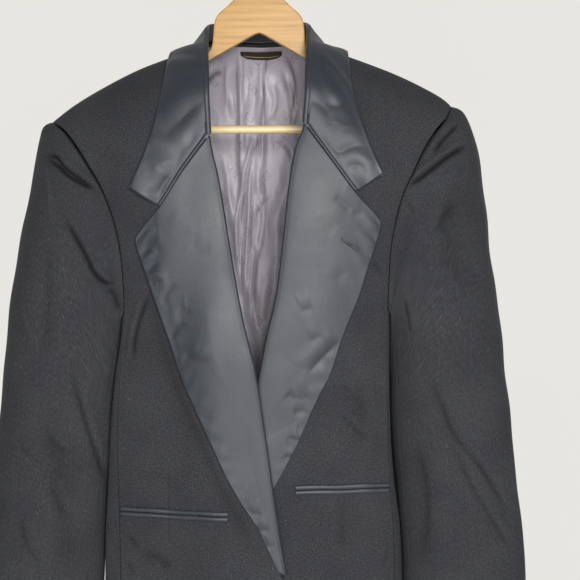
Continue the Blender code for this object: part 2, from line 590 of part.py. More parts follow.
TOP_SHARE = 0.34
ROWS = np.concatenate([[0, 0.04, 0.085, 0.135, 0.19, 0.26], np.linspace(0.34, 0.86, 10)[:-1], [0.86, 0.91, 0.95, 0.98, 1.0]])
FRONT_COLS = [0, 0.17, 0.35, 0.53, 0.7, 0.84, 0.94, 1.0]
BACK_COLS = [0, 0.11, 0.2, 0.27, 0.45, 0.62, 0.77, 0.9, 1.0]

UP = np.array([0.0, 0.0, -1.0])
for side in ("right", "left"):
    heights = np.concatenate([np.linspace(UNDERARM_Z[side] - 2.0, -600, 5)[:-1], np.linspace(-600, HEM_Z, 5)])
    grids = {
        "front": inset(front_panel(side, FRONT_COLS, ROWS), SEAM, first=False, bottom=False),
        "back": inset(back_panel(side, BACK_COLS, ROWS), SEAM, bottom=False),
        "side": inset(side_panel(side, 11, heights), SEAM, top=False, bottom=False),
    }
    walls = {k: wall_directions(g, MID) for k, g in grids.items()}
    plain = {k: w.copy() for k, w in walls.items()}
    for k, col in (("front", 0), ("back", -1)):
        zb, zs = grids[k][:, -1, 2], grids["side"][:, col, 2]
        walls[k][:, -1] = mitre(plain[k], -1, zb, zs, plain["side"][:, col], UNDERARM_Z[side] + 85)
        walls["side"][:, col] = mitre(plain["side"], col, zs, zb, plain[k][:, -1], 0.0)
        walls[k][0] = UP * 1.15
    walls["back"][:, 0] = unit(walls["back"][:, 0] * [0, 1, 1])
    walls["back"][0] = UP * 1.15
    for k, g in grids.items():
        sheet_solid(k + "_" + side, world(g, side), world(g + walls[k] * WALL, side), "wool")

    # sleeves: a top and an under piece of one open tube
    steps = np.array([0.1, 0.7, 1.3, 2, 2.8, 3.7, 4.6, 5.6, 6.5, 7.4, 8.4, 9.6, 10.8, 12, 13])
    f_seam, b_seam = SLEEVE_SEAMS
    top_a, under_a = np.linspace(b_seam - 2.0, f_seam, 13), np.linspace(f_seam, b_seam, 8)
    tube = sleeve_ring(side, steps, np.concatenate([top_a, under_a[1:]]) * np.pi)
    tube[..., 0] += 2.2
    axis = tube.mean(1, keepdims=True)
    tube_in = tube + wall_directions(tube, axis, closed=True) * WALL
    for piece, cut in (("top", slice(0, 13)), ("under", slice(12, None))):
        a, b = (inset(g[:, cut], SEAM, top=False, bottom=False) for g in (tube, tube_in))
        sheet_solid(f"sleeve_{piece}_{side}", world(a, side), world(b, side), "wool")

    ribbon("lapel_" + side, lapel_mid(side), 1.9, "satin", side)

# collar: both halves joined into one grid
TS = np.concatenate([[0, 0.06, 0.12, 0.175], [0.195, 0.206, 0.217, 0.23, 0.246], np.linspace(0.28, 1.0, 12)])
right = world(collar_half("right", TS), "right")
left = world(collar_half("left", TS), "left")
seam = (right[-1] + left[-1]) / 2
seam[:, 0] = 0.0
collar = np.concatenate([right[:-1], seam[None], left[:-1][::-1]])
ribbon("collar", collar, 1.9, "satin")

# pocket jets
POCKET = {"right": Table("e z", (34, -679), (105, -678), (176, -675.5)), "left": Table("e z", (43, -650), (98, -649.5), (152, -649))}
JET_H, JET_T, SLIT = 5.0, 1.4, 0.8
for side in ("right", "left"):
    for name, s0 in (("upper", 1.0), ("lower", -1.0)):
        e = np.linspace(POCKET[side].columns["e"][0], min(POCKET[side].columns["e"][-1], FRONT_OUT[side].read("e", "z", -665) - 3), 9)
        zc = POCKET[side].read("z", "e", e)
        rows = [zc + s0 * (SLIT / 2), zc + s0 * (SLIT / 2 + JET_H)]
        g = np.stack([on_shell(side, e, z, np.full_like(e, 1.5 + JET_T / 2)) for z in rows])
        ribbon(f"jet_{name}_{side}", g, JET_T, "satin", side)


def lathe(name, profile, centre, axis, mat, count=28):
    """Round solid: profile rows of radius and height along the axis."""
    axis = unit(np.asarray(axis, float))
    a = unit(np.cross(axis, [0.3, 0.1, 1.0]))
    b = np.cross(axis, a)
    verts, faces, rings = [], [], []
    for r, h in profile:
        ring = []
        for k in range(count if r > 1e-6 else 1):
            t = 2 * np.pi * k / count
            ring.append(len(verts))
            verts.append(centre + axis * h + (a * np.cos(t) + b * np.sin(t)) * r)
        rings.append(ring)
    for lo, hi in zip(rings, rings[1:]):
        for k in range(count):
            i, j = k % len(lo), (k + 1) % len(lo)
            m, n = k % len(hi), (k + 1) % len(hi)
            if len(lo) == 1:
                faces.append((lo[0], hi[m], hi[n]))
            elif len(hi) == 1:
                faces.append((lo[i], hi[0], lo[j]))
            else:
                faces.append((lo[i], hi[m], hi[n], lo[j]))
    return add_mesh(name, verts, faces, mat)


BUTTON_E, BUTTON_Z, BUTTON_R = -17.0, -785.0, 10.0
bn = shell_normal("right", np.array([BUTTON_E]), np.array([BUTTON_Z]))[0]
bp = np.array([BUTTON_E, float(front_y("right", BUTTON_E, BUTTON_Z)), BUTTON_Z])
bn[0] *= -1
bp[0] *= -1
lathe("front_button", [(0, 0.6), (7.5, 0.6), (9.4, 1.2), (BUTTON_R, 2.4), (9.2, 3.8), (6.5, 4.9), (3.2, 5.3), (0, 5.4)], bp, bn, "satin")

# back lining and the bare label at the neck
LINING_OFF, LINING_T = WALL + 1.8, 0.8
halves = []
for side in ("right", "left"):
    g = back_panel(side, BACK_COLS, ROWS)[:-2, :-1]
    g = inset(g, SEAM, first=False, bottom=False)
    w = wall_directions(g, MID)
    w[:, 0] = unit(w[:, 0] * [0, 1, 1])
    halves.append([world((g + w * d)[1:], side) for d in (LINING_OFF, LINING_OFF + LINING_T)])
outer = np.concatenate([halves[0][0][:, ::-1], halves[1][0][:, 1:]], 1)
inner = np.concatenate([halves[0][1][:, ::-1], halves[1][1][:, 1:]], 1)
sheet_solid("back_lining", outer, inner, "lining")

LABEL = Table("x low high", (-24, -127, -123), (-14, -131, -122.5), (8, -132, -122.5), (22, -130, -122.5), (27, -127, -123))
lx = np.linspace(-24, 27, 8)
rows = []
for s in (0, 0.5, 1):
    z = LABEL.read("low", "x", lx) * (1 - s) + LABEL.read("high", "x", lx) * s
    p = on_shell("left", np.abs(lx), z, np.full_like(lx, -(LINING_OFF + LINING_T + 2.2)), at_back=True)
    rows.append(np.stack([lx, p[:, 1], p[:, 2]], -1))
ribbon("neck_label", np.array(rows), 0.7, "label")

# ---------------------------------------------------------------- hanger

HANGER_T, CHEVRON, APEX_Z, BAR_Z, BAR_R = 12.0, 0.573, -112.0, -228.0, 5.0
HUMP = Table("e z", (0, -66), (16, -68), (30, -74), (37, -81), (45, -87.5), (50.5, -94), (53, -101), (54, -108), (54.6, -116), (55.5, -126), (60, -136), (66, -137.5))


def hanger_top(side, e):
    under = ridge_z(side, e) - 7.5
    return np.where(e < 66, HUMP.read("z", "e", e), np.where(e < 84, under - 4.5 * (84 - e) / 18.0, under))


outline = {}
for side in ("right", "left"):
    e = np.array([0, 8, 16, 23, 30, 34, 37, 41, 45, 48, 50.5, 52, 53, 54, 54.6, 55.5, 57, 60, 66, 72, 84, 98, 114, 130, 146, 162, 178, 192, 202])
    top = np.stack([e, hanger_top(side, e)], -1)
    t_end = top[-1, 1]
    end = np.array([(208, t_end - 6), (212, t_end - 14), (213, t_end - 24), (211, -226), (206, -236), (199, -240), (193, -238), (190.5, -232), (190, -225)])
    low_e = np.array([186, 160, 130, 100, 60, 30, 12, 5])
    low = np.stack([low_e, APEX_Z - CHEVRON * low_e], -1)
    outline[side] = np.concatenate([top, end, low])
loop = [(p[0], p[1]) for p in outline["left"]] + [(0, APEX_Z - 1.2)] + [(-p[0], p[1]) for p in outline["right"][::-1][:-1]]
loop = np.array(loop)
me = bpy.data.meshes.new("hanger_body")
bm = bmesh.new()
BEVEL = 1.6
vs = [bm.verts.new((x / 1000, -HANGER_T / 2000, z / 1000)) for x, z in loop]
face = bm.faces.new(vs)
ret = bmesh.ops.extrude_face_region(bm, geom=[face])
bmesh.ops.translate(bm, vec=(0, HANGER_T / 1000, 0), verts=[g for g in ret["geom"] if isinstance(g, bmesh.types.BMVert)])
bmesh.ops.recalc_face_normals(bm, faces=bm.faces[:])
rim = [ed for ed in bm.edges if abs(ed.verts[0].co.y - ed.verts[1].co.y) < 1e-6]
bmesh.ops.bevel(bm, geom=rim, offset=BEVEL / 1000, segments=2, profile=0.6, affect="EDGES")
bmesh.ops.triangulate(bm, faces=bm.faces[:])
bm.to_mesh(me)
bm.free()
hb = bpy.data.objects.new("hanger_body", me)
bpy.context.collection.objects.link(hb)
me.materials.append(MATERIALS["wood"])

BAR_HALF = 188.5
lathe("hanger_bar", [(0, 0), (BAR_R - 0.6, 0), (BAR_R, 0.6), (BAR_R, 2 * BAR_HALF - 0.6), (BAR_R - 0.6, 2 * BAR_HALF), (0, 2 * BAR_HALF)],
      np.array([-BAR_HALF, 0.0, BAR_Z]), (1, 0, 0), "bar", 20)

HOOK_R, WIRE = 20.0, 4.0
path = [(0, -65.4), (0, -60), (0, -54), (1.5, -48.5), (6, -43.8), (12, -39.3)]
for a in range(-38, 206, 12):
    t = math.radians(a)
    path.append(((HOOK_R + WIRE / 2) * math.cos(t), -HOOK_R + (HOOK_R + WIRE / 2) * math.sin(t)))
cu = bpy.data.curves.new("hanger_hook", "CURVE")
cu.dimensions = "3D"
cu.bevel_depth = WIRE / 2000
cu.bevel_resolution = 3
cu.use_fill_caps = True
sp = cu.splines.new("POLY")
sp.points.add(len(path) - 1)
for p, (x, z) in zip(sp.points, path):
    p.co = (x / 1000, 0, z / 1000, 1)
sp.use_smooth = True
hk = bpy.data.objects.new("hanger_hook", cu)
bpy.context.collection.objects.link(hk)
cu.materials.append(MATERIALS["steel"])
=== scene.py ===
"""Looks of the evening jacket on its wooden hanger."""

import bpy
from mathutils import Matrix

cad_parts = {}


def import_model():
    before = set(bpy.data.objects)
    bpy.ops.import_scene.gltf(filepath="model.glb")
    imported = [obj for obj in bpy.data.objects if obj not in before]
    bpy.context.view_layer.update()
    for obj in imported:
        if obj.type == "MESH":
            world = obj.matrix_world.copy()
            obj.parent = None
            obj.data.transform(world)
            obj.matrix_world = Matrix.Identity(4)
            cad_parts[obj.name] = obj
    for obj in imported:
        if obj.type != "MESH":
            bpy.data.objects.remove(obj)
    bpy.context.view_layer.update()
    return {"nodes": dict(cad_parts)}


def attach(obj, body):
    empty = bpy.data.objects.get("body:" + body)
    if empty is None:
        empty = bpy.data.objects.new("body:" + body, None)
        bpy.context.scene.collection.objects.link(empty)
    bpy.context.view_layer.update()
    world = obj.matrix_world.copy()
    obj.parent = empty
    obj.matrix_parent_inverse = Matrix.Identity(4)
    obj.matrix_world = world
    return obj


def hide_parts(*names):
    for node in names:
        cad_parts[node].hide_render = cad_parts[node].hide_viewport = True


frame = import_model()

import math

import bpy
import numpy as np

# ---------------------------------------------------------------- interpolation

def smooth(t):
    t = np.clip(t, 0.0, 1.0)
    return t * t * (3.0 - 2.0 * t)


def monotone(xs, ys, at):
    """Cubic through the rows that never overshoots them; xs may rise or fall."""
    xs, ys = np.asarray(xs, float), np.asarray(ys, float)
    if xs[0] > xs[-1]:
        xs, ys = xs[::-1], ys[::-1]
    at = np.clip(np.asarray(at, float), xs[0], xs[-1])
    h, d = np.diff(xs), np.diff(ys) / np.diff(xs)
    m = np.zeros(len(xs))
    m[0], m[-1] = d[0], d[-1]
    for i in range(1, len(xs) - 1):
        if d[i - 1] * d[i] > 0:
            a, b = 2 * h[i] + h[i - 1], h[i] + 2 * h[i - 1]
            m[i] = (a + b) / (a / d[i - 1] + b / d[i])
    i = np.clip(np.searchsorted(xs, at, side="right") - 1, 0, len(xs) - 2)
    t = (at - xs[i]) / h[i]
    return ((1 + 2 * t) * (1 - t) ** 2 * ys[i] + t * (1 - t) ** 2 * h[i] * m[i]
            + t * t * (3 - 2 * t) * ys[i + 1] + t * t * (t - 1) * h[i] * m[i + 1])


class Table:
    """A short table with named columns, read by smooth interpolation along any one of them."""

    def __init__(self, names, *rows):
        self.columns = {n: np.array([r[i] for r in rows], float) for i, n in enumerate(names.split())}

    def read(self, column, by, at):
        return monotone(self.columns[by], self.columns[column], at)

    def curve(self, names, count_or_t):
        """Points along the rows at equal shares of their length, or at the given shares."""
        pts = np.stack([self.columns[n] for n in names.split()], 1)
        run = np.concatenate([[0], np.cumsum(np.linalg.norm(np.diff(pts, axis=0), axis=1))])
        t = np.linspace(0, 1, count_or_t) if np.isscalar(count_or_t) else np.asarray(count_or_t, float)
        return np.stack([monotone(run / run[-1], pts[:, k], t) for k in range(pts.shape[1])], -1)


# ---------------------------------------------------------------- sizes, in millimetres
# Own-side distance "e" is measured from the middle of the jacket towards the side that a
# piece belongs to, so a front edge that laps past the middle has a negative e.
# "right" and "left" are the wearer's: right is -X, left is +X. The front faces -Y.

WALL = 2.0            # shell cloth with its canvas
SEAM = 0.75            # half the gap at a seam
RIDGE_Y = 4.0         # the shoulder seam sits just behind the middle
HEM_Z = -890.0
LAP = 12.5            # how far the wearer's right front stands in front of the left where it laps over
SIGN = {"right": -1.0, "left": 1.0}

# Height of the shoulder line over its distance out, from the back neck to the sleeve seam.
RIDGE = {
    "right": Table("e z", (0, -95), (30, -99), (50, -110), (66, -125), (85, -133.5), (102, -140), (141, -155), (181, -175), (221, -199), (247, -219)),
    "left": Table("e z", (0, -95), (30, -99), (50, -110), (66, -125), (85, -133), (104, -139.5), (133, -150), (168, -164), (199, -179), (221, -192), (230, -200)),
}
# Front edge: neck point, roll line of the lapel, button, then the rounded corner of the hem.
FRONT_EDGE = {
    "right": Table("e z", (66, -125), (58, -160), (55, -242), (45, -291), (28, -393), (17, -452), (3, -511), (-10, -595), (-23, -688), (-33, -752), (-37, -800), (-33, -835), (-18, -864), (8, -882), (42, -889)),
    "left": Table("e z", (66, -125), (56, -160), (53, -229), (44, -254), (37, -291), (29, -363), (21, -426), (11, -469), (2, -515), (-11, -590), (-23, -675), (-33, -738), (-37, -790), (-33, -825), (-18, -856), (8, -876), (42, -884)),
}
# Outer edge of the front: armhole, then the seam to the side panel.
FRONT_OUT = {
    "right": Table("z e", (-219, 247), (-233, 231), (-257, 212), (-281, 196), (-300, 184), (-322, 174), (-346, 166), (-372, 160.5), (-405, 157), (-445, 155.5), (-520, 161), (-592, 164), (-700, 161.5), (-760, 160.5), (-890, 168)),
    "left": Table("z e", (-200, 230), (-219, 221.5), (-237, 207), (-261, 192), (-287, 179), (-310, 168), (-339, 160), (-370, 154.5), (-405, 152), (-440, 150.5), (-520, 150), (-592, 151), (-640, 153), (-700, 158), (-760, 159), (-890, 166)),
}
BACK_OUT = {
    "right": Table("z e", (-219, 247), (-232, 240), (-255, 227), (-285, 212), (-320, 199), (-360, 189), (-400, 184), (-445, 181), (-520, 178), (-600, 178), (-700, 182), (-800, 188), (-890, 193)),
    "left": Table("z e", (-200, 230), (-215, 226), (-240, 217), (-270, 206), (-310, 194), (-355, 186), (-400, 181), (-440, 178.5), (-520, 176), (-600, 175), (-700, 177), (-800, 182), (-890, 188)),
}
UNDERARM_Z = {"right": -445.0, "left": -440.0}
# How far the front and the back stand off the middle plane.
DEPTH = Table("z front back", (-90, 68, 72), (-200, 75, 80), (-300, 79, 85), (-400, 79, 84), (-500, 75, 77), (-600, 69, 69), (-700, 67, 68), (-800, 69, 74), (-890, 72, 80))
# Side panel, pushed in by the hanging sleeve: the roll in front and the hollow behind it.
SIDE_FORM = {
    "right": Table("z roll hollow", (-445, 0, 147), (-480, 2, 147.5), (-520, 5, 149), (-592, 9, 154), (-650, 13, 157), (-700, 17, 160), (-760, 19, 164), (-800, 18, 166), (-890, 13, 172)),
    "left": Table("z roll hollow", (-440, 0, 142), (-480, 1, 141.5), (-520, 2, 141), (-592, 4, 143), (-700, 8, 150), (-760, 9, 155), (-800, 9, 160), (-890, 8, 168)),
}
# Sleeve rings from the armhole down: outer and inner ends, middle and half depth in Y,
# and how much of the armhole's own shape is left in the ring.
SLEEVE = {
    "right": Table("n eo zo ei zi ym yh scye",
        (0, 247, -219, 148, -445, -4, 56, 1.0), (1, 256, -225, 149, -450, -5, 58, 0.93), (2, 261, -243, 150.5, -454, -6, 60, 0.84),
        (3, 266, -274, 152, -458, -8, 62, 0.70), (4, 273, -316, 153.5, -463, -10, 62, 0.52), (5, 281, -362, 155, -470, -12, 61, 0.33),
        (6, 289, -412, 157, -482, -14, 59, 0.15), (7, 295, -468, 160, -503, -15, 54, 0.03), (8, 300, -525, 166, -537, -16, 48, 0.0),
        (9, 305, -588, 171, -592, -17, 43, 0.0), (10, 309, -655, 175.5, -656, -18, 38, 0.0), (11, 313, -740, 180, -741, -20, 34, 0.0),
        (12, 312, -800, 181, -802, -21, 32, 0.0), (13, 309, -852, 182, -857, -22, 31, 0.0)),
    "left": Table("n eo zo ei zi ym yh scye",
        (0, 230, -200, 143, -440, -4, 56, 1.0), (1, 240, -204.5, 144, -446, -5, 58, 0.93), (2, 249, -219, 145, -450, -6, 60, 0.84),
        (3, 257, -248, 146, -454, -8, 62, 0.70), (4, 264, -292, 147, -459, -10, 62, 0.52), (5, 270, -348, 148, -466, -12, 61, 0.33),
        (6, 277, -408, 149.5, -478, -14, 59, 0.15), (7, 284, -464, 151, -500, -15, 54, 0.03), (8, 291, -530, 154, -540, -16, 48, 0.0),
        (9, 297.5, -590, 156.5, -595, -17, 43, 0.0), (10, 304, -655, 162.5, -658, -18, 38, 0.0), (11, 312, -735, 169, -738, -20, 34, 0.0),
        (12, 312, -795, 172, -799, -21, 32, 0.0), (13, 310, -848, 175, -853, -22, 31, 0.0)),
}
SLEEVE_SEAMS = (0.855, 1.52)   # front and back seam, in half turns from the outside over the front
# Lapel outer edge from its corner down to the end of the roll, and the gorge seam above it.
LAPEL_EDGE = {
    "right": Table("e z", (139.5, -360), (140, -364), (139, -369), (125, -409), (112, -447), (100, -481), (87, -519), (70, -557), (53, -595), (36, -633), (19, -663), (-3, -697), (-17, -728), (-31, -756)),
    "left": Table("e z", (139.5, -341), (140, -347), (139, -352), (126, -393), (116, -426), (97, -473), (82, -519), (69, -543), (59, -566), (44, -600), (25, -636), (2, -676), (-14, -710), (-31, -742)),
}
GORGE = {   # from the roll line out to the notch, then on to the lapel's corner
    "right": Table("e z", (55, -242), (83, -280), (112, -325), (127, -343), (137, -356), (139.5, -360)),
    "left": Table("e z", (53, -229), (84, -271), (115, -312), (128, -326), (136.5, -335.5), (139.5, -341)),
}
# Collar fold: from the notch up the gorge seam, then round the neck to the middle of the back.
COLLAR_IN = {
    "right": Table("e z y", (112, -324, -76), (83, -279.5, -77), (55, -241, -77.5), (57, -200, -77.5), (58, -170, -69), (60, -145, -49), (61.5, -122, -20), (62, -104, 8), (57, -97, 34), (36, -94, 54), (0, -93, 62)),
    "left": Table("e z y", (115, -311, -76), (84, -270.5, -77), (53, -228, -77.5), (55.5, -195, -77.5), (56, -168, -69), (57, -143, -49), (58, -120, -20), (58.5, -102, 8), (53, -95, 34), (34, -93, 54), (0, -93, 62)),
}
# Collar outer edge: "around" is the signed root of the drop below the shoulder line, - in front.
COLLAR_OUT = {
    "right": Table("e around lift", (145, -12.0, 9), (133, -11.05, 7), (122, -9.75, 6), (114, -8.3, 5), (109, -6.4, 4), (105.5, -3.6, 5), (102, 0, 5.5), (97, 3.2, 5), (84, 4.4, 4), (60, 5.5, 4), (30, 6.65, 4), (0, 6.9, 4)),
    "left": Table("e around lift", (141, -11.5, 9), (133, -10.85, 7), (123, -9.75, 6), (112, -8.1, 5), (106, -6.2, 4), (104.5, -3.6, 5), (103, 0, 5.5), (97, 3.2, 5), (84, 4.4, 4), (60, 5.5, 4), (30, 6.65, 4), (0, 6.9, 4)),
}
NECK_BACK = Table("e z", (0, -118), (25, -118), (45, -119), (58, -122), (66, -125))   # back neck seam


# ---------------------------------------------------------------- the body's surface

def ridge_z(side, e):
    return RIDGE[side].read("z", "e", np.maximum(e, 0.0))


def profile(drop, full):
    """Share of the full depth reached at a drop below the shoulder line."""
    return np.clip(1.0 - (1.0 - np.clip(drop / full, 0.0, 1.0)) ** 2, 0.0, 1.0) ** 0.62


def front_y(side, e, z):
    e, z = np.asarray(e, float), np.asarray(z, float)
    drop = np.maximum(ridge_z(side, e) - z, 0.0)
    share = profile(drop, 90.0 + 60.0 * smooth((e - 50.0) / 80.0))
    q = np.clip(np.abs(e) / FRONT_OUT[side].read("e", "z", z), 0.0, 1.15)
    y = RIDGE_Y * (1 - share) - DEPTH.read("front", "z", z) * share * (1 - 0.30 * q ** 3)
    if side == "right":   # this front laps over the other one
        y = y - LAP * smooth((105.0 - e) / 65.0) * smooth((-320.0 - z) / 190.0)
    return y


def back_y(side, e, z):
    e, z = np.asarray(e, float), np.asarray(z, float)
    drop = np.maximum(ridge_z(side, e) - z, 0.0)
    share = profile(drop, 60.0 + 75.0 * smooth(e / 100.0))
    q = np.clip(np.abs(e) / BACK_OUT[side].read("e", "z", z), 0.0, 1.15)
    return RIDGE_Y * (1 - share) + DEPTH.read("back", "z", z) * share * (1 - 0.25 * q ** 3)


def drops(v, height, first, share=0.34):
    """Drop below the top row: close rows over the shoulder, then even ones to the hem."""
    v = np.asarray(v, float)
    low = first * (1 - np.cos(np.clip(v / share, 0, 1) * np.pi / 2))
    return np.where(v < share, low, first + (height - first) * np.clip((v - share) / (1 - share), 0, 1))


def edge_at(table, z):
    return table.read("e", "z", z)


def front_panel(side, us, vs, inset=5.0):
    """Grid of the front, us from the roll line out, vs from the shoulder down. (rows, columns, 3) in e, y, z."""
    run = FRONT_EDGE[side]
    fe, fz = run.columns["e"], run.columns["z"]
    top_in, top_out = fz[0], ridge_z(side, FRONT_OUT[side].columns["e"][0])
    zi = np.maximum(top_in - drops(vs, top_in - fz[-1], 110.0), fz[-1])
    ei = run.read("e", "z", zi) + inset * smooth((top_in - zi) / 30.0)
    ei = np.where(zi < -770, ei - inset * smooth((-770 - zi) / 30.0), ei)
    zo = top_out - drops(vs, top_out - HEM_Z, 110.0)
    eo = FRONT_OUT[side].read("e", "z", zo)
    u = np.asarray(us, float)[None, :]
    e = ei[:, None] * (1 - u) + eo[:, None] * u
    bow = ridge_z(side, e) - (ridge_z(side, fe[0]) + (top_out - ridge_z(side, fe[0])) * (e - fe[0]) / (FRONT_OUT[side].columns["e"][0] - fe[0]))
    z = zi[:, None] * (1 - u) + zo[:, None] * u + bow * (1 - smooth(np.asarray(vs) / 0.45))[:, None]
    z = np.minimum(z, ridge_z(side, e))
    return np.stack([e, front_y(side, e, z), z], -1)


def back_panel(side, us, vs, neck_share=0.27):
    """Grid of half the back, us from its middle seam out, vs from the neck and shoulder down."""
    us, vs = np.asarray(us, float), np.asarray(vs, float)
    s_e, s_z = BACK_OUT[side].columns["e"][0], ridge_z(side, BACK_OUT[side].columns["e"][0])
    n_e = NECK_BACK.columns["e"][-1]
    top_e = np.where(us < neck_share, n_e * us / neck_share, n_e + (s_e - n_e) * (us - neck_share) / (1 - neck_share))
    top_z = np.where(top_e < n_e, NECK_BACK.read("z", "e", top_e), ridge_z(side, top_e))
    zo = s_z - drops(vs, s_z - HEM_Z, 110.0)
    zi = top_z[0] - drops(vs, top_z[0] - HEM_Z, 110.0)
    eo = BACK_OUT[side].read("e", "z", zo)
    u = us[None, :]
    bow = top_z - (top_z[0] * (1 - us) + s_z * us)
    z = zi[:, None] * (1 - u) + zo[:, None] * u + bow[None, :] * (1 - smooth(vs / 0.45))[:, None]
    low = smooth((vs - 0.1) / 0.5)[:, None]
    e = top_e[None, :] * (1 - low) + u * eo[:, None] * low
    # the armhole pulls the outer columns in from the first row on
    e = e - (top_e[-1] * (1 - low) + eo[:, None] * low - eo[:, None]) * np.clip((u - 0.55) / 0.45, 0, 1) ** 1.5
    z = np.maximum(z, HEM_Z)
    z = np.minimum(z, np.where(e < n_e, NECK_BACK.read("z", "e", e), ridge_z(side, e)))
    return np.stack([e, back_y(side, e, z), z], -1)


def through(points, counts):
    """Catmull-Rom through points (k, ..., 3) from the second to the one before last, counts per span."""
    out = []
    for i in range(1, len(points) - 2):
        a, b, c, d = points[i - 1:i + 3]
        t = np.linspace(0, 1, counts[i - 1] + 1)[:-1]
        t = t.reshape((-1,) + (1,) * (a.ndim))
        out.append(0.5 * ((2 * b) + (c - a) * t + (2 * a - 5 * b + 4 * c - d) * t ** 2 + (3 * b - a - 3 * c + d) * t ** 3))
    out.append(points[-2][None])
    return np.concatenate(out)


def side_section(side, z, per_span=6):
    """Curve of the side panel at heights z, from the front seam to the back seam: (points, heights, 3)."""
    z = np.asarray(z, float)
    ef, eb = FRONT_OUT[side].read("e", "z", z), BACK_OUT[side].read("e", "z", z)
    yf, yb = front_y(side, ef, z), back_y(side, eb, z)
    roll, hollow = SIDE_FORM[side].read("roll", "z", z), SIDE_FORM[side].read("hollow", "z", z)
    pre = np.stack([ef - 16, front_y(side, ef - 16, z), z], -1)
    post = np.stack([eb - 24, back_y(side, eb - 24, z), z], -1)
    pts = np.stack([
        pre,
        np.stack([ef, yf, z], -1),
        np.stack([ef + roll, yf + 11, z], -1),
        np.stack([hollow + 1.0, yf * 0.25 - 6, z], -1),
        np.stack([hollow + 4.0, 0.35 * yb + 4, z], -1),
        np.stack([eb, yb, z], -1),
        post,
    ])
    return through(pts, [per_span] * 5)


def side_panel(side, columns, heights, per_span=6):
    curve = side_section(side, heights, per_span)          # (k, rows, 3)
    k = np.linspace(0, len(curve) - 1, columns)
    lo = np.clip(np.floor(k).astype(int), 0, len(curve) - 2)
    t = (k - lo)[:, None, None]
    return np.swapaxes(curve[lo] * (1 - t) + curve[lo + 1] * t, 0, 1)


def armhole(side, count):
    """Closed armhole curve from the shoulder, down the front, under and up the back: count + 1 points."""
    s_e, u_z = FRONT_OUT[side].columns["e"][0], UNDERARM_Z[side]
    s_z = ridge_z(side, s_e)
    t = np.linspace(0, 1, 60)
    zf = s_z + (u_z - s_z) * (1 - np.cos(t * np.pi / 2)) ** 0.9
    ef = FRONT_OUT[side].read("e", "z", zf)
    front = np.stack([ef, front_y(side, ef, zf), zf], -1)
    eb = BACK_OUT[side].read("e", "z", zf)
    back = np.stack([eb, back_y(side, eb, zf), zf], -1)
    under = side_section(side, np.array([u_z]), 8)[:, 0]
    halves = [np.concatenate([front[:-1], under[:len(under) // 2 + 1]]), np.concatenate([under[len(under) // 2:], back[::-1][1:]])]
    out = []
    for h, n in zip(halves, (count // 2, count - count // 2)):
        run = np.concatenate([[0], np.cumsum(np.linalg.norm(np.diff(h, axis=0), axis=1))])
        at = np.linspace(0, run[-1], n + 1)
        out.append(np.stack([np.interp(at, run, h[:, c]) for c in range(3)], -1))
    return np.concatenate([out[0], out[1][1:]])


def superellipse(phi, n=2.25):
    c, s = np.cos(phi), np.sin(phi)
    return np.sign(c) * np.abs(c) ** (2 / n), np.sign(s) * np.abs(s) ** (2 / n)


def sleeve_ring(side, n, phi):
    """Points of the sleeve at ring number n (any fraction) and angles phi from the outside over the front."""
    t = SLEEVE[side]
    n = np.asarray(n, float)
    get = lambda name: t.read(name, "n", n)[..., None]
    co, si = superellipse(phi)
    e = (get("eo") + get("ei")) / 2 + (get("eo") - get("ei")) / 2 * co
    z = (get("zo") + get("zi")) / 2 + (get("zo") - get("zi")) / 2 * co
    y = get("ym") - get("yh") * si
    p = np.stack([e + 0 * y, y, z + 0 * y], -1)
    first = {c: t.columns[c][0] for c in t.columns}
    e0 = (first["eo"] + first["ei"]) / 2 + (first["eo"] - first["ei"]) / 2 * co
    z0 = (first["zo"] + first["zi"]) / 2 + (first["zo"] - first["zi"]) / 2 * co
    p0 = np.stack([e0, first["ym"] - first["yh"] * si, z0], -1)
    hole = armhole(side, 240)
    at = (np.asarray(phi) / (2 * np.pi) % 1.0) * 240
    lo = np.floor(at).astype(int) % 240
    a = hole[lo] + (hole[lo + 1] - hole[lo]) * (at - np.floor(at))[:, None]
    return p + get("scye")[..., None] * (a - p0)


def body_point(side, e, around):
    """A point of the shell at own-side distance e and a signed root of drop below the shoulder line."""
    e, around = np.asarray(e, float), np.asarray(around, float)
    z = ridge_z(side, e) - around ** 2
    y = np.where(around < 0, front_y(side, e, z), back_y(side, e, z))
    return np.stack([e, y, z], -1)


def unit(v):
    return v / np.maximum(np.linalg.norm(v, axis=-1, keepdims=True), 1e-9)


def shell_normal(side, e, z, at_back=False):
    """Outward normal of the front or the back."""
    f, d = (back_y if at_back else front_y), 0.5
    du = np.stack([np.full_like(e, 2 * d), f(side, e + d, z) - f(side, e - d, z), np.zeros_like(e)], -1)
    dv = np.stack([np.zeros_like(e), f(side, e, z + d) - f(side, e, z - d), np.full_like(e, 2 * d)], -1)
    n = unit(np.cross(du, dv))
    return n * np.where((n[..., 1:2] > 0) == at_back, 1.0, -1.0)


def on_shell(side, e, z, out, at_back=False):
    """Points of the front or back, moved out along its normal."""
    e, z = np.asarray(e, float), np.asarray(z, float)
    y = (back_y if at_back else front_y)(side, e, z)
    return np.stack([e, y, z], -1) + shell_normal(side, e, z, at_back) * np.asarray(out, float)[..., None]


def body_normal(side, e, around):
    du = body_point(side, e + 1.0, around) - body_point(side, e - 1.0, around)
    dv = body_point(side, e, around + 0.05) - body_point(side, e, around - 0.05)
    n = unit(np.cross(du, dv))
    return n


NOTCH_SHARE = {"right": 0.690, "left": 0.690}   # how far along the gorge the collar ends


def gorge_point(side, share, out=1.5):
    """Point of the gorge seam at a share of its length, moved to the collar's side of it."""
    g = GORGE[side]
    p, q = g.curve("e z", share), g.curve("e z", share + 0.002)
    d = unit(q - p)
    return p + np.stack([-d[..., 1], d[..., 0]], -1) * out


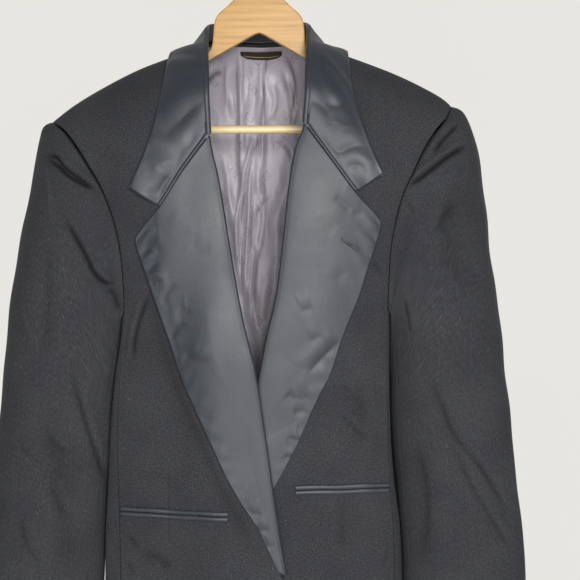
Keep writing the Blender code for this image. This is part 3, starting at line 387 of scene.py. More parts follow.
def collar_ribs(side, ts):
    """Inner and outer ends of the collar's fall at shares ts from the notch to the middle of the back."""
    ts = np.asarray(ts, float)
    cin, cout = COLLAR_IN[side], COLLAR_OUT[side]
    k_in = np.linspace(0, 1, len(cin.columns["e"]))
    k_out = np.linspace(0, 1, len(cout.columns["e"]))
    e, z, y = (monotone(k_in, cin.columns[c], ts) for c in "e z y".split())
    seam = gorge_point(side, NOTCH_SHARE[side] * (1 - np.clip(ts / 0.2, 0, 1)))
    low = ts <= 0.2
    e, z = np.where(low, seam[..., 0], e), np.where(low, seam[..., 1], z)
    on = front_y(side, e, z) - 1.0
    w = smooth((ts - 0.2) / 0.1)
    y = y * w + on * (1 - w)
    inner = np.stack([e, y, z], -1)
    eo, ar, lift = (monotone(k_out, cout.columns[c], ts) for c in "e around lift".split())
    n = body_normal(side, eo, ar)
    outer = body_point(side, eo, ar) + n * lift[:, None]
    return inner, outer, n


# ---------------------------------------------------------------- grids

def grid_normals(g):
    du = np.gradient(g, axis=1)
    dv = np.gradient(g, axis=0)
    return unit(np.cross(du, dv))


def inset(g, gap, top=True, bottom=True, first=True, last=True):
    """Draw the chosen edges of a grid in by a gap, for the seams."""
    g = g.copy()
    if first:
        g[:, 0] += unit(g[:, 1] - g[:, 0]) * gap
    if last:
        g[:, -1] += unit(g[:, -2] - g[:, -1]) * gap
    if top:
        g[0] += unit(g[1] - g[0]) * gap
    if bottom:
        g[-1] += unit(g[-2] - g[-1]) * gap
    return g


def world(g, side):
    g = g.copy()
    g[..., 0] *= SIGN[side]
    return g


def wall_directions(g, towards, closed=False):
    """Unit directions through the wall, pointing inwards."""
    if closed:
        w = np.concatenate([g[:, -2:-1], g, g[:, 1:2]], 1)
        n = grid_normals(w)[:, 1:-1]
    else:
        n = grid_normals(g)
    return n * (1.0 if np.sum(n * (towards - g)) > 0 else -1.0)


def mitre(n, column, z, z_other, n_other, below):
    """Share one direction along a seam between two pieces, from a height down."""
    other = unit(np.stack([np.interp(-z, -z_other, n_other[:, k]) for k in range(3)], -1))
    both = unit(n[:, column] + other)
    both = both / np.maximum(np.sum(both * n[:, column], -1, keepdims=True), 0.6)
    return np.where((z < below)[:, None], both, n[:, column])


MID = np.array([60.0, 0.0, -480.0])



FOLD_R = 2.7
ARC = np.radians([-90, -45, 0, 45, 90])


def fold_path(apex, legs_out, legs_in, end, share, slide, r=FOLD_R, arcs=5, leg=3):
    """Points round a fold from its outer side, over the apex and down the inner leg to its end.

    Only a share of the way is walked, so that the seam can wrap round the fold."""
    b = unit(legs_out + legs_in)
    p = unit(legs_out - b * np.sum(legs_out * b, -1, keepdims=True))
    c = apex + b * r - legs_out * slide[:, None]
    out = []
    for k in range(len(apex)):
        angles = np.radians(np.linspace(90, -90, 13))
        arc = c[k] + (-b[k] * np.cos(angles)[:, None] + p[k] * np.sin(angles)[:, None]) * r
        way = np.concatenate([arc, end[k][None]])
        run = np.concatenate([[0], np.cumsum(np.linalg.norm(np.diff(way, axis=0), axis=1))])
        bend = np.pi * r
        full = np.concatenate([np.linspace(0, bend, arcs), np.linspace(bend, run[-1], leg)[1:]])
        least = np.linspace(0, 2.4, len(full))
        at = least * (1 - share[k]) + full * share[k]
        out.append(np.stack([np.interp(at, run, way[:, a]) for a in range(3)], -1))
    return np.swapaxes(np.array(out), 0, 1)[::-1]          # from the far end of the leg to the outer side


LAPEL_LIFT = Table("v belly edge", (0, 3.0, 3.0), (0.25, 3.4, 2.5), (0.5, 2.2, 1.0), (0.75, 1.2, 0.4), (1, 0.4, 0.0))


def lapel_grid(side, vs, shares):
    """Middle surface of the lapel, from its short return round the fold and out to its edge."""
    vs, shares = np.asarray(vs, float), np.asarray(shares, float)
    run, edge, gorge = FRONT_EDGE[side], LAPEL_EDGE[side], GORGE[side]
    z0, z1 = gorge.columns["z"][0], edge.columns["z"][-1] + 9.0
    zi = z0 + (z1 - z0) * vs
    ei = run.read("e", "z", zi)
    out = edge.curve("e z", 200)[:193]
    k = np.linspace(0, 1, len(out))
    eo, zo = np.interp(vs, k, out[:, 0]), np.interp(vs, k, out[:, 1])
    top = gorge.curve("e z", shares)
    chord = top[:1] + (top[-1:] - top[:1]) * shares[:, None]
    rows = []
    for i, v in enumerate(vs):
        start = min(3.2, 0.45 * math.hypot(eo[i] - ei[i], zo[i] - zi[i]))
        d = np.array([eo[i] - ei[i], zo[i] - zi[i]])
        run_on = start / np.linalg.norm(d) * (1 - shares)
        line = np.array([ei[i], zi[i]]) + d * (shares + run_on)[:, None]
        rows.append(line + (top - chord) * (1 - smooth(v / 0.16)))
    flat = np.array(rows)                                    # rows, shares, (e z)
    belly = LAPEL_LIFT.read("belly", "v", vs)[:, None]
    lift = LAPEL_LIFT.read("edge", "v", vs)[:, None]
    out_by = 1.75 + belly * np.sin(np.pi * np.clip(shares, 0, 1) ** 0.7) + lift * shares ** 2
    face = on_shell(side, flat[..., 0], flat[..., 1], out_by)
    return face, flat


def lapel_mid(side, rows, shares, arc):
    vs = np.linspace(0, 1, rows)
    shares = np.array(shares)
    face, flat = lapel_grid(side, vs, shares)
    zi = np.linspace(GORGE[side].columns["z"][0], LAPEL_EDGE[side].columns["z"][-1] + 9.0, rows)
    ei = FRONT_EDGE[side].read("e", "z", zi)
    n = shell_normal(side, ei, zi)
    along = unit(face[:, 1] - face[:, 0])
    along = unit(along - n * np.sum(along * n, -1, keepdims=True))
    r = np.interp(vs, [0, 0.9, 1], [FOLD_R, FOLD_R, 2.2])[:, None]
    c = on_shell(side, ei, zi, np.zeros(rows)) + along * (r + 0.3) - n * 1.15
    bend = [c + (-along * np.cos(a) + n * np.sin(a)) * r for a in arc]
    back = bend[0] + along * 1.2
    return np.stack([back] + bend + [face[:, k] for k in range(1, len(shares))], 1)


def collar_half(side, ts, shares, arcs, leg):
    """Middle surface of half the collar: stand, fold and fall, from the notch to the middle of the back."""
    inner, outer, n_out = collar_ribs(side, ts)
    ts = np.asarray(ts, float)
    # bottom of the stand: a short return in front, the neck seam at the back
    nb_e = np.minimum(inner[:, 0] + 2.0, 64.0)
    ce = np.where(ts > 0.7, inner[:, 0], nb_e)
    front_s = np.stack([inner[:, 0] + 1.4, inner[:, 1] + 8.0, inner[:, 2] - 1.0], -1)
    be = np.clip(inner[:, 0] * 1.04, 0, 64.5)
    bz = NECK_BACK.read("z", "e", be) + 1.6
    back_s = np.stack([be, back_y(side, be, bz - 1.6) - 1.2, bz], -1)
    back_s[:, 1] = np.where(be > 60, np.maximum(back_s[:, 1], 6.0), back_s[:, 1])
    w = smooth((ts - 0.56) / 0.16)[:, None]
    stand = front_s * (1 - w) + back_s * w
    legs_out = unit(outer - inner)
    legs_in = unit(stand - inner)
    share = smooth((ts - 0.185) / 0.06)
    path = fold_path(inner, legs_out, legs_in, stand, share, 1.2 * (1 - smooth((ts - 0.17) / 0.06)), arcs=arcs, leg=leg)
    cols = list(path)
    start = cols[-1]
    for s in shares:
        p = start + (outer - start) * s
        p = p + n_out * (2.6 * np.sin(np.pi * s)) * 1.0
        # never closer to the shell than its own thickness and a little
        rz = ridge_z(side, p[:, 0])
        fy = front_y(side, p[:, 0], np.minimum(p[:, 2], rz)) - 2.9
        by = back_y(side, p[:, 0], np.minimum(p[:, 2], rz)) + 2.9
        in_front = (p[:, 1] < RIDGE_Y) & (p[:, 2] < rz + 1.0)
        behind = (p[:, 1] >= RIDGE_Y) & (p[:, 2] < rz + 1.0)
        p[:, 1] = np.where(in_front, np.minimum(p[:, 1], fy), p[:, 1])
        p[:, 1] = np.where(behind, np.maximum(p[:, 1], by), p[:, 1])
        cols.append(p)
    return np.stack(cols, 1)




# ---------------------------------------------------------------- creases

def crease_field(rows, x, z):
    """Soft troughs (negative) and ridges (positive) along short lines; sizes in millimetres."""
    out = np.zeros_like(x)
    for x0, z0, x1, z1, bow, width, depth in rows:
        d = np.array([x1 - x0, z1 - z0])
        length = np.hypot(*d)
        d = d / length
        s = ((x - x0) * d[0] + (z - z0) * d[1]) / length
        t = -(x - x0) * d[1] + (z - z0) * d[0]
        t = t - bow * 4 * np.clip(s, 0, 1) * (1 - np.clip(s, 0, 1))
        taper = smooth((s + 0.18) / 0.36) * smooth((1.18 - s) / 0.36)
        out += depth * np.exp(-(t / width) ** 2) * taper
    return out


def path_points(pts, per_span=14):
    """Smooth line through points, with its tangents."""
    p = np.asarray(pts, float)
    p = np.concatenate([[2 * p[0] - p[1]], p, [2 * p[-1] - p[-2]]])
    out = []
    for i in range(1, len(p) - 2):
        a, b, c, d = p[i - 1:i + 3]
        t = np.linspace(0, 1, per_span + 1)[:-1, None]
        out.append(0.5 * (2 * b + (c - a) * t + (2 * a - 5 * b + 4 * c - d) * t ** 2 + (3 * b - a - 3 * c + d) * t ** 3))
    out = np.concatenate(out + [p[-2][None]])
    return out, unit(np.gradient(out, axis=0))


def fold_field(rows, x, z):
    """Troughs (negative depth) or ridges along smooth lines, each with a softer ridge or trough on its upper side."""
    out = np.zeros(x.shape)
    at = np.stack([x.ravel(), z.ravel()], -1)
    for pts, width, depth, beside in rows:
        line, tan = path_points(pts)
        d2 = ((at[:, None] - line[None]) ** 2).sum(-1)
        near = d2.argmin(1)
        d = at - line[near]
        t = d[:, 1] * tan[near, 0] - d[:, 0] * tan[near, 1]
        chord = line[-1] - line[0]
        t = t * (-1.0 if chord[0] + 1e-3 * chord[1] < 0 else 1.0)
        past = np.sqrt(np.maximum(d2[np.arange(len(at)), near] - t ** 2, 0))
        s = near / (len(line) - 1)
        taper = smooth(0.1 + s / 0.25) * smooth(0.1 + (1 - s) / 0.3) * np.exp(-(past / (2.2 * width)) ** 2)
        wide = width * (1.25 - 0.35 * np.sin(np.pi * s))
        hit = depth * np.exp(-np.abs(t / (0.8 * wide)) ** 1.4) + beside * np.exp(-((t - 2.1 * wide) / (1.35 * wide)) ** 2)
        out += (1.7 * hit * taper).reshape(x.shape)
    return out


def ripples(x, z, seed, count, wave_lo, wave_hi, tilt, size):
    """A few long uneven waves, the same each run."""
    rng = np.random.default_rng(seed)
    out = np.zeros_like(x)
    for _ in range(count):
        wave = rng.uniform(wave_lo, wave_hi)
        a = math.radians(tilt + rng.uniform(-35, 35))
        out += np.sin((x * math.cos(a) + z * math.sin(a)) / wave * 2 * math.pi + rng.uniform(0, 6.3)) * rng.uniform(0.5, 1.0)
    return out * size / math.sqrt(count)


# ---------------------------------------------------------------- meshes

def fine_mesh(name, outer, inner, mat, nodes, step=1, shade=None):
    """Closed shell between two grids, with its size laid out flat in its UVs; the hidden layer takes every step-th point."""
    r, c, _ = outer.shape
    if (r - 1) % step or (c - 1) % step:
        step = 1
    hid = inner[::step, ::step]
    hr, hc, _ = hid.shape
    n = r * c
    verts = np.concatenate([outer.reshape(-1, 3), hid.reshape(-1, 3)]) / 1000.0
    idx = np.arange(n).reshape(r, c)
    hdx = np.arange(hr * hc).reshape(hr, hc) + n
    quad = lambda g, flip: np.stack([g[:-1, :-1], g[1:, :-1], g[1:, 1:], g[:-1, 1:]] if flip else [g[:-1, :-1], g[:-1, 1:], g[1:, 1:], g[1:, :-1]], -1).reshape(-1, 4)
    around = lambda g: np.concatenate([g[0, :], g[1:, -1], g[-1, -2::-1], g[-2:0:-1, 0]])
    rim, hrim = around(idx), around(hdx)
    strip = [[rim[k * step], hrim[k], hrim[(k + 1) % len(hrim)]] + [rim[(k * step + j) % len(rim)] for j in range(step, 0, -1)] for k in range(len(hrim))]
    faces = quad(idx, False).tolist() + quad(hdx, True).tolist() + strip
    q = quad(idx, False)
    tri = q[:, [0, 1, 2, 0, 2, 3]].reshape(-1, 3)
    hq = quad(hdx, True)
    htri = hq[:, [0, 1, 2, 0, 2, 3]].reshape(-1, 3)
    tris = np.concatenate([tri, htri])
    mid = verts.mean(0)
    v = verts - mid
    vol = np.sum(v[tris[:, 0]] * np.cross(v[tris[:, 1]], v[tris[:, 2]]))
    if vol < 0:
        faces = [f[::-1] for f in faces]
    me = bpy.data.meshes.new(name)
    me.from_pydata(verts.tolist(), [], faces)
    us = np.concatenate([np.zeros((r, 1)), np.cumsum(np.linalg.norm(np.diff(outer, axis=1), axis=-1), 1)], 1)
    vs = np.concatenate([np.zeros((1, c)), np.cumsum(np.linalg.norm(np.diff(outer, axis=0), axis=-1), 0)], 0)
    flat = np.stack([us, vs], -1) / 1000.0
    flat = np.concatenate([flat.reshape(-1, 2), flat[::step, ::step].reshape(-1, 2)])
    uv = me.uv_layers.new(name="cut")
    loops = np.zeros(len(me.loops), np.int32)
    me.loops.foreach_get("vertex_index", loops)
    uv.data.foreach_set("uv", flat[loops].ravel())
    me.shade_smooth()
    # per-point painted crease shade, stored as the "hollow" attribute for the materials
    deep = np.zeros(len(verts))
    if shade is not None:
        deep[:n] = np.asarray(shade).ravel()
    at = me.attributes.new("hollow", "FLOAT", "POINT")
    at.data.foreach_set("value", deep)
    ob = bpy.data.objects.new(name, me)
    bpy.context.scene.collection.objects.link(ob)
    me.materials.append(MATS[mat])
    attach(ob, "root")
    if nodes:
        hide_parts(*nodes)
    return ob


def under_layer(g, w, d, wall, step=3):
    """Hidden layer of a creased shell: below the wall and below every trough near it."""
    deep = np.maximum(-d, 0.0)
    k = step
    pad = np.pad(deep, k, mode="edge")
    most = np.max([pad[i:i + deep.shape[0], j:j + deep.shape[1]] for i in range(0, 2 * k + 1) for j in range(0, 2 * k + 1)], 0)
    return g + w * (wall + most)[..., None]


def hollow(folds, depth=4.0):
    """How far into a fold each point is, 0 to 1; the mask of the painted crease shade."""
    return np.clip(-folds / depth, 0, 1)


def cut_size(g):
    """Width, length and area of a grid laid flat, in metres."""
    across = np.linalg.norm(np.diff(g, axis=1), axis=-1).sum(1).max() / 1000
    down = np.linalg.norm(np.diff(g, axis=0), axis=-1).sum(0).max() / 1000
    q = g
    n1 = np.cross(q[:-1, 1:] - q[:-1, :-1], q[1:, 1:] - q[:-1, :-1])
    n2 = np.cross(q[1:, 1:] - q[:-1, :-1], q[1:, :-1] - q[:-1, :-1])
    area = (np.linalg.norm(n1, axis=-1).sum() + np.linalg.norm(n2, axis=-1).sum()) / 2 / 1e6
    return float(across), float(down), float(area)


def declare(g):
    w, l, area = cut_size(g)
    area = min(area, 0.999 * w * l)


# ---------------------------------------------------------------- materials

def nodes_of(name):
    m = bpy.data.materials.new(name)
    m.use_nodes = True
    return m, m.node_tree.nodes, m.node_tree.links, m.node_tree.nodes["Principled BSDF"]


def link_noise(nt, links, coord, scale, detail=3.0, rough=0.5, stretch=(1, 1, 1)):
    mp = nt.new("ShaderNodeMapping")
    mp.inputs["Scale"].default_value = stretch
    links.new(coord, mp.inputs["Vector"])
    n = nt.new("ShaderNodeTexNoise")
    n.inputs["Scale"].default_value = scale
    n.inputs["Detail"].default_value = detail
    n.inputs["Roughness"].default_value = rough
    links.new(mp.outputs["Vector"], n.inputs["Vector"])
    return n.outputs["Fac"]


def ramp(nt, links, fac, stops):
    r = nt.new("ShaderNodeValToRGB")
    el = r.color_ramp.elements
    while len(el) > 1:
        el.remove(el[-1])
    el[0].position, el[0].color = stops[0][0], (*stops[0][1], 1)
    for pos, col in stops[1:]:
        e = el.new(pos)
        e.color = (*col, 1)
    links.new(fac, r.inputs["Fac"])
    return r.outputs["Color"]


def mix(nt, links, kind, a, b, fac):
    m = nt.new("ShaderNodeMix")
    m.data_type = "RGBA"
    m.blend_type = kind
    links.new(a, m.inputs["A"])
    links.new(b, m.inputs["B"])
    if isinstance(fac, (int, float)):
        m.inputs["Factor"].default_value = fac
    else:
        links.new(fac, m.inputs["Factor"])
    return m.outputs["Result"]


def bumps(nt, links, p, layers):
    prev = None
    for fac, strength, dist in layers:
        b = nt.new("ShaderNodeBump")
        b.inputs["Strength"].default_value = strength
        b.inputs["Distance"].default_value = dist
        links.new(fac, b.inputs["Height"])
        if prev:
            links.new(prev, b.inputs["Normal"])
        prev = b.outputs["Normal"]
    links.new(prev, p.inputs["Normal"])


def paint_crease_shade(nt, ln, colour, amount):
    """Painted shade: the colour is darkened where the cloth folds in on itself, standing in for the shade that falls in
    creases, pleats and seams.
    """
    # the "hollow" attribute holds how much painted crease shade each point gets
    a = nt.new("ShaderNodeAttribute")
    a.attribute_name = "hollow"
    shade = ramp(nt, ln, a.outputs["Fac"], [(0.0, (1, 1, 1)), (0.45, (1 - amount * 0.5,) * 3), (1.0, (1 - amount,) * 3)])
    return mix(nt, ln, "MULTIPLY", colour, shade, 1.0)


def wool_material():
    m, nt, ln, p = nodes_of("wool_cloth")
    uv = nt.new("ShaderNodeTexCoord")
    fine = link_noise(nt, ln, uv.outputs["UV"], 1500.0, 3.0, 0.6)
    mid = link_noise(nt, ln, uv.outputs["UV"], 520.0, 4.0, 0.75)
    lint = link_noise(nt, ln, uv.outputs["UV"], 260.0, 2.0, 0.5)
    broad = link_noise(nt, ln, uv.outputs["Object"], 14.0, 3.0, 0.6)
    base = ramp(nt, ln, mid, [(0.30, (0.016, 0.017, 0.020)), (0.5, (0.037, 0.038, 0.043)), (0.72, (0.078, 0.080, 0.088))])
    tone = ramp(nt, ln, broad, [(0.3, (0.82, 0.82, 0.85)), (0.7, (1.12, 1.12, 1.12))])
    specks = ramp(nt, ln, lint, [(0.66, (1, 1, 1)), (0.76, (1.5, 1.5, 1.5))])
    cloth = mix(nt, ln, "MULTIPLY", mix(nt, ln, "MULTIPLY", base, tone, 1.0), specks, 1.0)
    # wool colour darkened by painted crease shade
    ln.new(paint_crease_shade(nt, ln, cloth, 0.72), p.inputs["Base Color"])
    p.inputs["Roughness"].default_value = 0.86
    p.inputs["Specular IOR Level"].default_value = 0.22
    p.inputs["Sheen Weight"].default_value = 0.05
    p.inputs["Sheen Roughness"].default_value = 0.45
    p.inputs["Sheen Tint"].default_value = (0.80, 0.84, 0.92, 1)
    bumps(nt, ln, p, [(broad, 0.15, 0.004), (mid, 0.25, 0.0005), (fine, 0.35, 0.0004)])
    return m


def satin_material(name="satin_cloth", low=(0.015, 0.0195, 0.027), high=(0.030, 0.038, 0.051)):
    m, nt, ln, p = nodes_of(name)
    uv = nt.new("ShaderNodeTexCoord")
    thread = link_noise(nt, ln, uv.outputs["UV"], 900.0, 2.0, 0.5, (0.25, 1.6, 1))
    fine = link_noise(nt, ln, uv.outputs["UV"], 1800.0, 2.0, 0.5)
    broad = link_noise(nt, ln, uv.outputs["Object"], 22.0, 4.0, 0.6)
    grain = link_noise(nt, ln, uv.outputs["UV"], 600.0, 3.0, 0.7)
    base = mix(nt, ln, "MULTIPLY", ramp(nt, ln, thread, [(0.3, low), (0.7, high)]), ramp(nt, ln, grain, [(0.3, (0.72, 0.72, 0.72)), (0.7, (1.28, 1.28, 1.28))]), 1.0)
    # satin colour darkened by painted crease shade
    ln.new(paint_crease_shade(nt, ln, base, 0.6), p.inputs["Base Color"])
    ro = nt.new("ShaderNodeMapRange")
    ro.inputs["From Min"].default_value, ro.inputs["From Max"].default_value = 0.3, 0.7
    ro.inputs["To Min"].default_value, ro.inputs["To Max"].default_value = 0.46, 0.54
    ln.new(broad, ro.inputs["Value"])
    ln.new(ro.outputs["Result"], p.inputs["Roughness"])
    p.inputs["Specular IOR Level"].default_value = 0.8
    p.inputs["Anisotropic"].default_value = 0.4
    p.inputs["Sheen Weight"].default_value = 0.05
    p.inputs["Sheen Roughness"].default_value = 0.4
    p.inputs["Sheen Tint"].default_value = (0.78, 0.85, 0.95, 1)
    bumps(nt, ln, p, [(broad, 0.10, 0.003), (grain, 0.40, 0.0004), (thread, 0.12, 0.0002), (fine, 0.15, 0.00015)])
    return m


def math_node(nt, ln, op, a, b=None, clamp=False):
    n = nt.new("ShaderNodeMath")
    n.operation, n.use_clamp = op, clamp
    for k, v in enumerate((a, b)):
        if v is None:
            continue
        if isinstance(v, (int, float)):
            n.inputs[k].default_value = v
        else:
            ln.new(v, n.inputs[k])
    return n.outputs[0]


def lining_material():
    m, nt, ln, p = nodes_of("lining_cloth")
    uv = nt.new("ShaderNodeTexCoord")
    sep = nt.new("ShaderNodeSeparateXYZ")
    ln.new(uv.outputs["UV"], sep.inputs["Vector"])
    # small diamond motif on a staggered repeat
    v = math_node(nt, ln, "MULTIPLY", sep.outputs["Y"], 1 / 0.036)
    row = math_node(nt, ln, "FLOOR", v)
    shift = math_node(nt, ln, "MULTIPLY", row, 0.37)
    u = math_node(nt, ln, "ADD", math_node(nt, ln, "MULTIPLY", sep.outputs["X"], 1 / 0.052), shift)
    fu = math_node(nt, ln, "SUBTRACT", math_node(nt, ln, "FRACT", u), 0.5)
    fv = math_node(nt, ln, "SUBTRACT", math_node(nt, ln, "FRACT", v), 0.5)
    au = math_node(nt, ln, "MULTIPLY", math_node(nt, ln, "ABSOLUTE", fu), 1.7)
    av = math_node(nt, ln, "ABSOLUTE", fv)
    dist = math_node(nt, ln, "ADD", au, av)
    ring = math_node(nt, ln, "ABSOLUTE", math_node(nt, ln, "SUBTRACT", dist, 0.17))
    mark = math_node(nt, ln, "SUBTRACT", 1.0, math_node(nt, ln, "MULTIPLY", ring, 26.0), True)
    dot = math_node(nt, ln, "SUBTRACT", 1.0, math_node(nt, ln, "MULTIPLY", dist, 14.0), True)
    motif = math_node(nt, ln, "MULTIPLY", math_node(nt, ln, "MAXIMUM", mark, dot), 0.75)
    thread = link_noise(nt, ln, uv.outputs["UV"], 1000.0, 2.0, 0.5, (1.5, 0.3, 1))
    broad = link_noise(nt, ln, uv.outputs["Object"], 18.0, 3.0, 0.6)
    base = ramp(nt, ln, thread, [(0.3, (0.36, 0.325, 0.375)), (0.7, (0.47, 0.43, 0.485))])
    dark = nt.new("ShaderNodeRGB")
    dark.outputs[0].default_value = (0.16, 0.135, 0.175, 1)
    # lining colour darkened by painted crease shade
    ln.new(paint_crease_shade(nt, ln, mix(nt, ln, "MIX", base, dark.outputs[0], motif), 0.62), p.inputs["Base Color"])
    p.inputs["Roughness"].default_value = 0.42
    p.inputs["Specular IOR Level"].default_value = 0.6
    p.inputs["Anisotropic"].default_value = 0.4
    p.inputs["Sheen Weight"].default_value = 0.12
    bumps(nt, ln, p, [(broad, 0.3, 0.004), (thread, 0.12, 0.0002)])
    return m


def wood_material(name, low, mid, high, rough, coat):
    m, nt, ln, p = nodes_of(name)
    uv = nt.new("ShaderNodeTexCoord")
    grain = link_noise(nt, ln, uv.outputs["Object"], 60.0, 6.0, 0.6, (0.22, 1.0, 2.6))
    pores = link_noise(nt, ln, uv.outputs["Object"], 700.0, 3.0, 0.6, (0.10, 1.0, 1.6))
    rings = nt.new("ShaderNodeTexWave")
    rings.wave_type, rings.bands_direction = "BANDS", "Z"
    rings.inputs["Scale"].default_value = 22.0
    rings.inputs["Distortion"].default_value = 5.0
    rings.inputs["Detail"].default_value = 3.0
    mp = nt.new("ShaderNodeMapping")
    mp.inputs["Scale"].default_value = (0.35, 1, 1.6)
    ln.new(uv.outputs["Object"], mp.inputs["Vector"])
    ln.new(mp.outputs["Vector"], rings.inputs["Vector"])
    base = ramp(nt, ln, grain, [(0.25, low), (0.5, mid), (0.8, high)])
    lines = ramp(nt, ln, rings.outputs["Fac"], [(0.0, (0.88, 0.84, 0.78)), (0.6, (1.0, 1.0, 1.0))])
    ln.new(mix(nt, ln, "MULTIPLY", base, lines, 0.8), p.inputs["Base Color"])
    p.inputs["Roughness"].default_value = rough
    p.inputs["Coat Weight"].default_value = coat
    p.inputs["Coat Roughness"].default_value = 0.25
    bumps(nt, ln, p, [(grain, 0.06, 0.0006), (pores, 0.10, 0.0002)])
    return m


def steel_material():
    m, nt, ln, p = nodes_of("hook_wire")
    uv = nt.new("ShaderNodeTexCoord")
    scratch = link_noise(nt, ln, uv.outputs["Object"], 500.0, 4.0, 0.6, (1, 1, 0.2))
    ln.new(ramp(nt, ln, scratch, [(0.3, (0.62, 0.62, 0.63)), (0.7, (0.78, 0.78, 0.79))]), p.inputs["Base Color"])
    p.inputs["Metallic"].default_value = 1.0
    p.inputs["Roughness"].default_value = 0.22
    bumps(nt, ln, p, [(scratch, 0.08, 0.0001)])
    return m


def label_material():
    m, nt, ln, p = nodes_of("label_weave")
    uv = nt.new("ShaderNodeTexCoord")
    thread = link_noise(nt, ln, uv.outputs["Object"], 1300.0, 2.0, 0.5, (2.5, 1, 0.6))
    ln.new(ramp(nt, ln, thread, [(0.3, (0.012, 0.011, 0.011)), (0.7, (0.028, 0.025, 0.024))]), p.inputs["Base Color"])
    p.inputs["Roughness"].default_value = 0.55
    bumps(nt, ln, p, [(thread, 0.3, 0.0002)])
    return m


def gold_material():
    m, nt, ln, p = nodes_of("label_gold_thread")
    uv = nt.new("ShaderNodeTexCoord")
    thread = link_noise(nt, ln, uv.outputs["Object"], 1500.0, 2.0, 0.5)
    ln.new(ramp(nt, ln, thread, [(0.3, (0.30, 0.19, 0.07)), (0.7, (0.50, 0.34, 0.13))]), p.inputs["Base Color"])
    p.inputs["Roughness"].default_value = 0.45
    bumps(nt, ln, p, [(thread, 0.4, 0.0002)])
    return m


MATS = {
    "wool": wool_material(),
    "satin": satin_material(),
    "lining": lining_material(),
    "label": label_material(),
    "gold": gold_material(),
    "wood": wood_material("hanger_wood", (0.40, 0.19, 0.035), (0.55, 0.30, 0.070), (0.66, 0.40, 0.12), 0.40, 0.2),
    "bar": wood_material("bar_wood_grain", (0.78, 0.56, 0.27), (0.90, 0.71, 0.39), (0.95, 0.82, 0.54), 0.42, 0.25),
    "steel": steel_material(),
}

for node, mat in (("hanger_body", "wood"), ("hanger_bar", "bar"), ("hanger_hook", "steel")):
    ob = frame["nodes"][node]
    ob = ob if hasattr(ob, "data") else bpy.data.objects[node]
    ob.data.materials.clear()
    ob.data.materials.append(MATS[mat])
    if node != "hanger_hook":
        pass
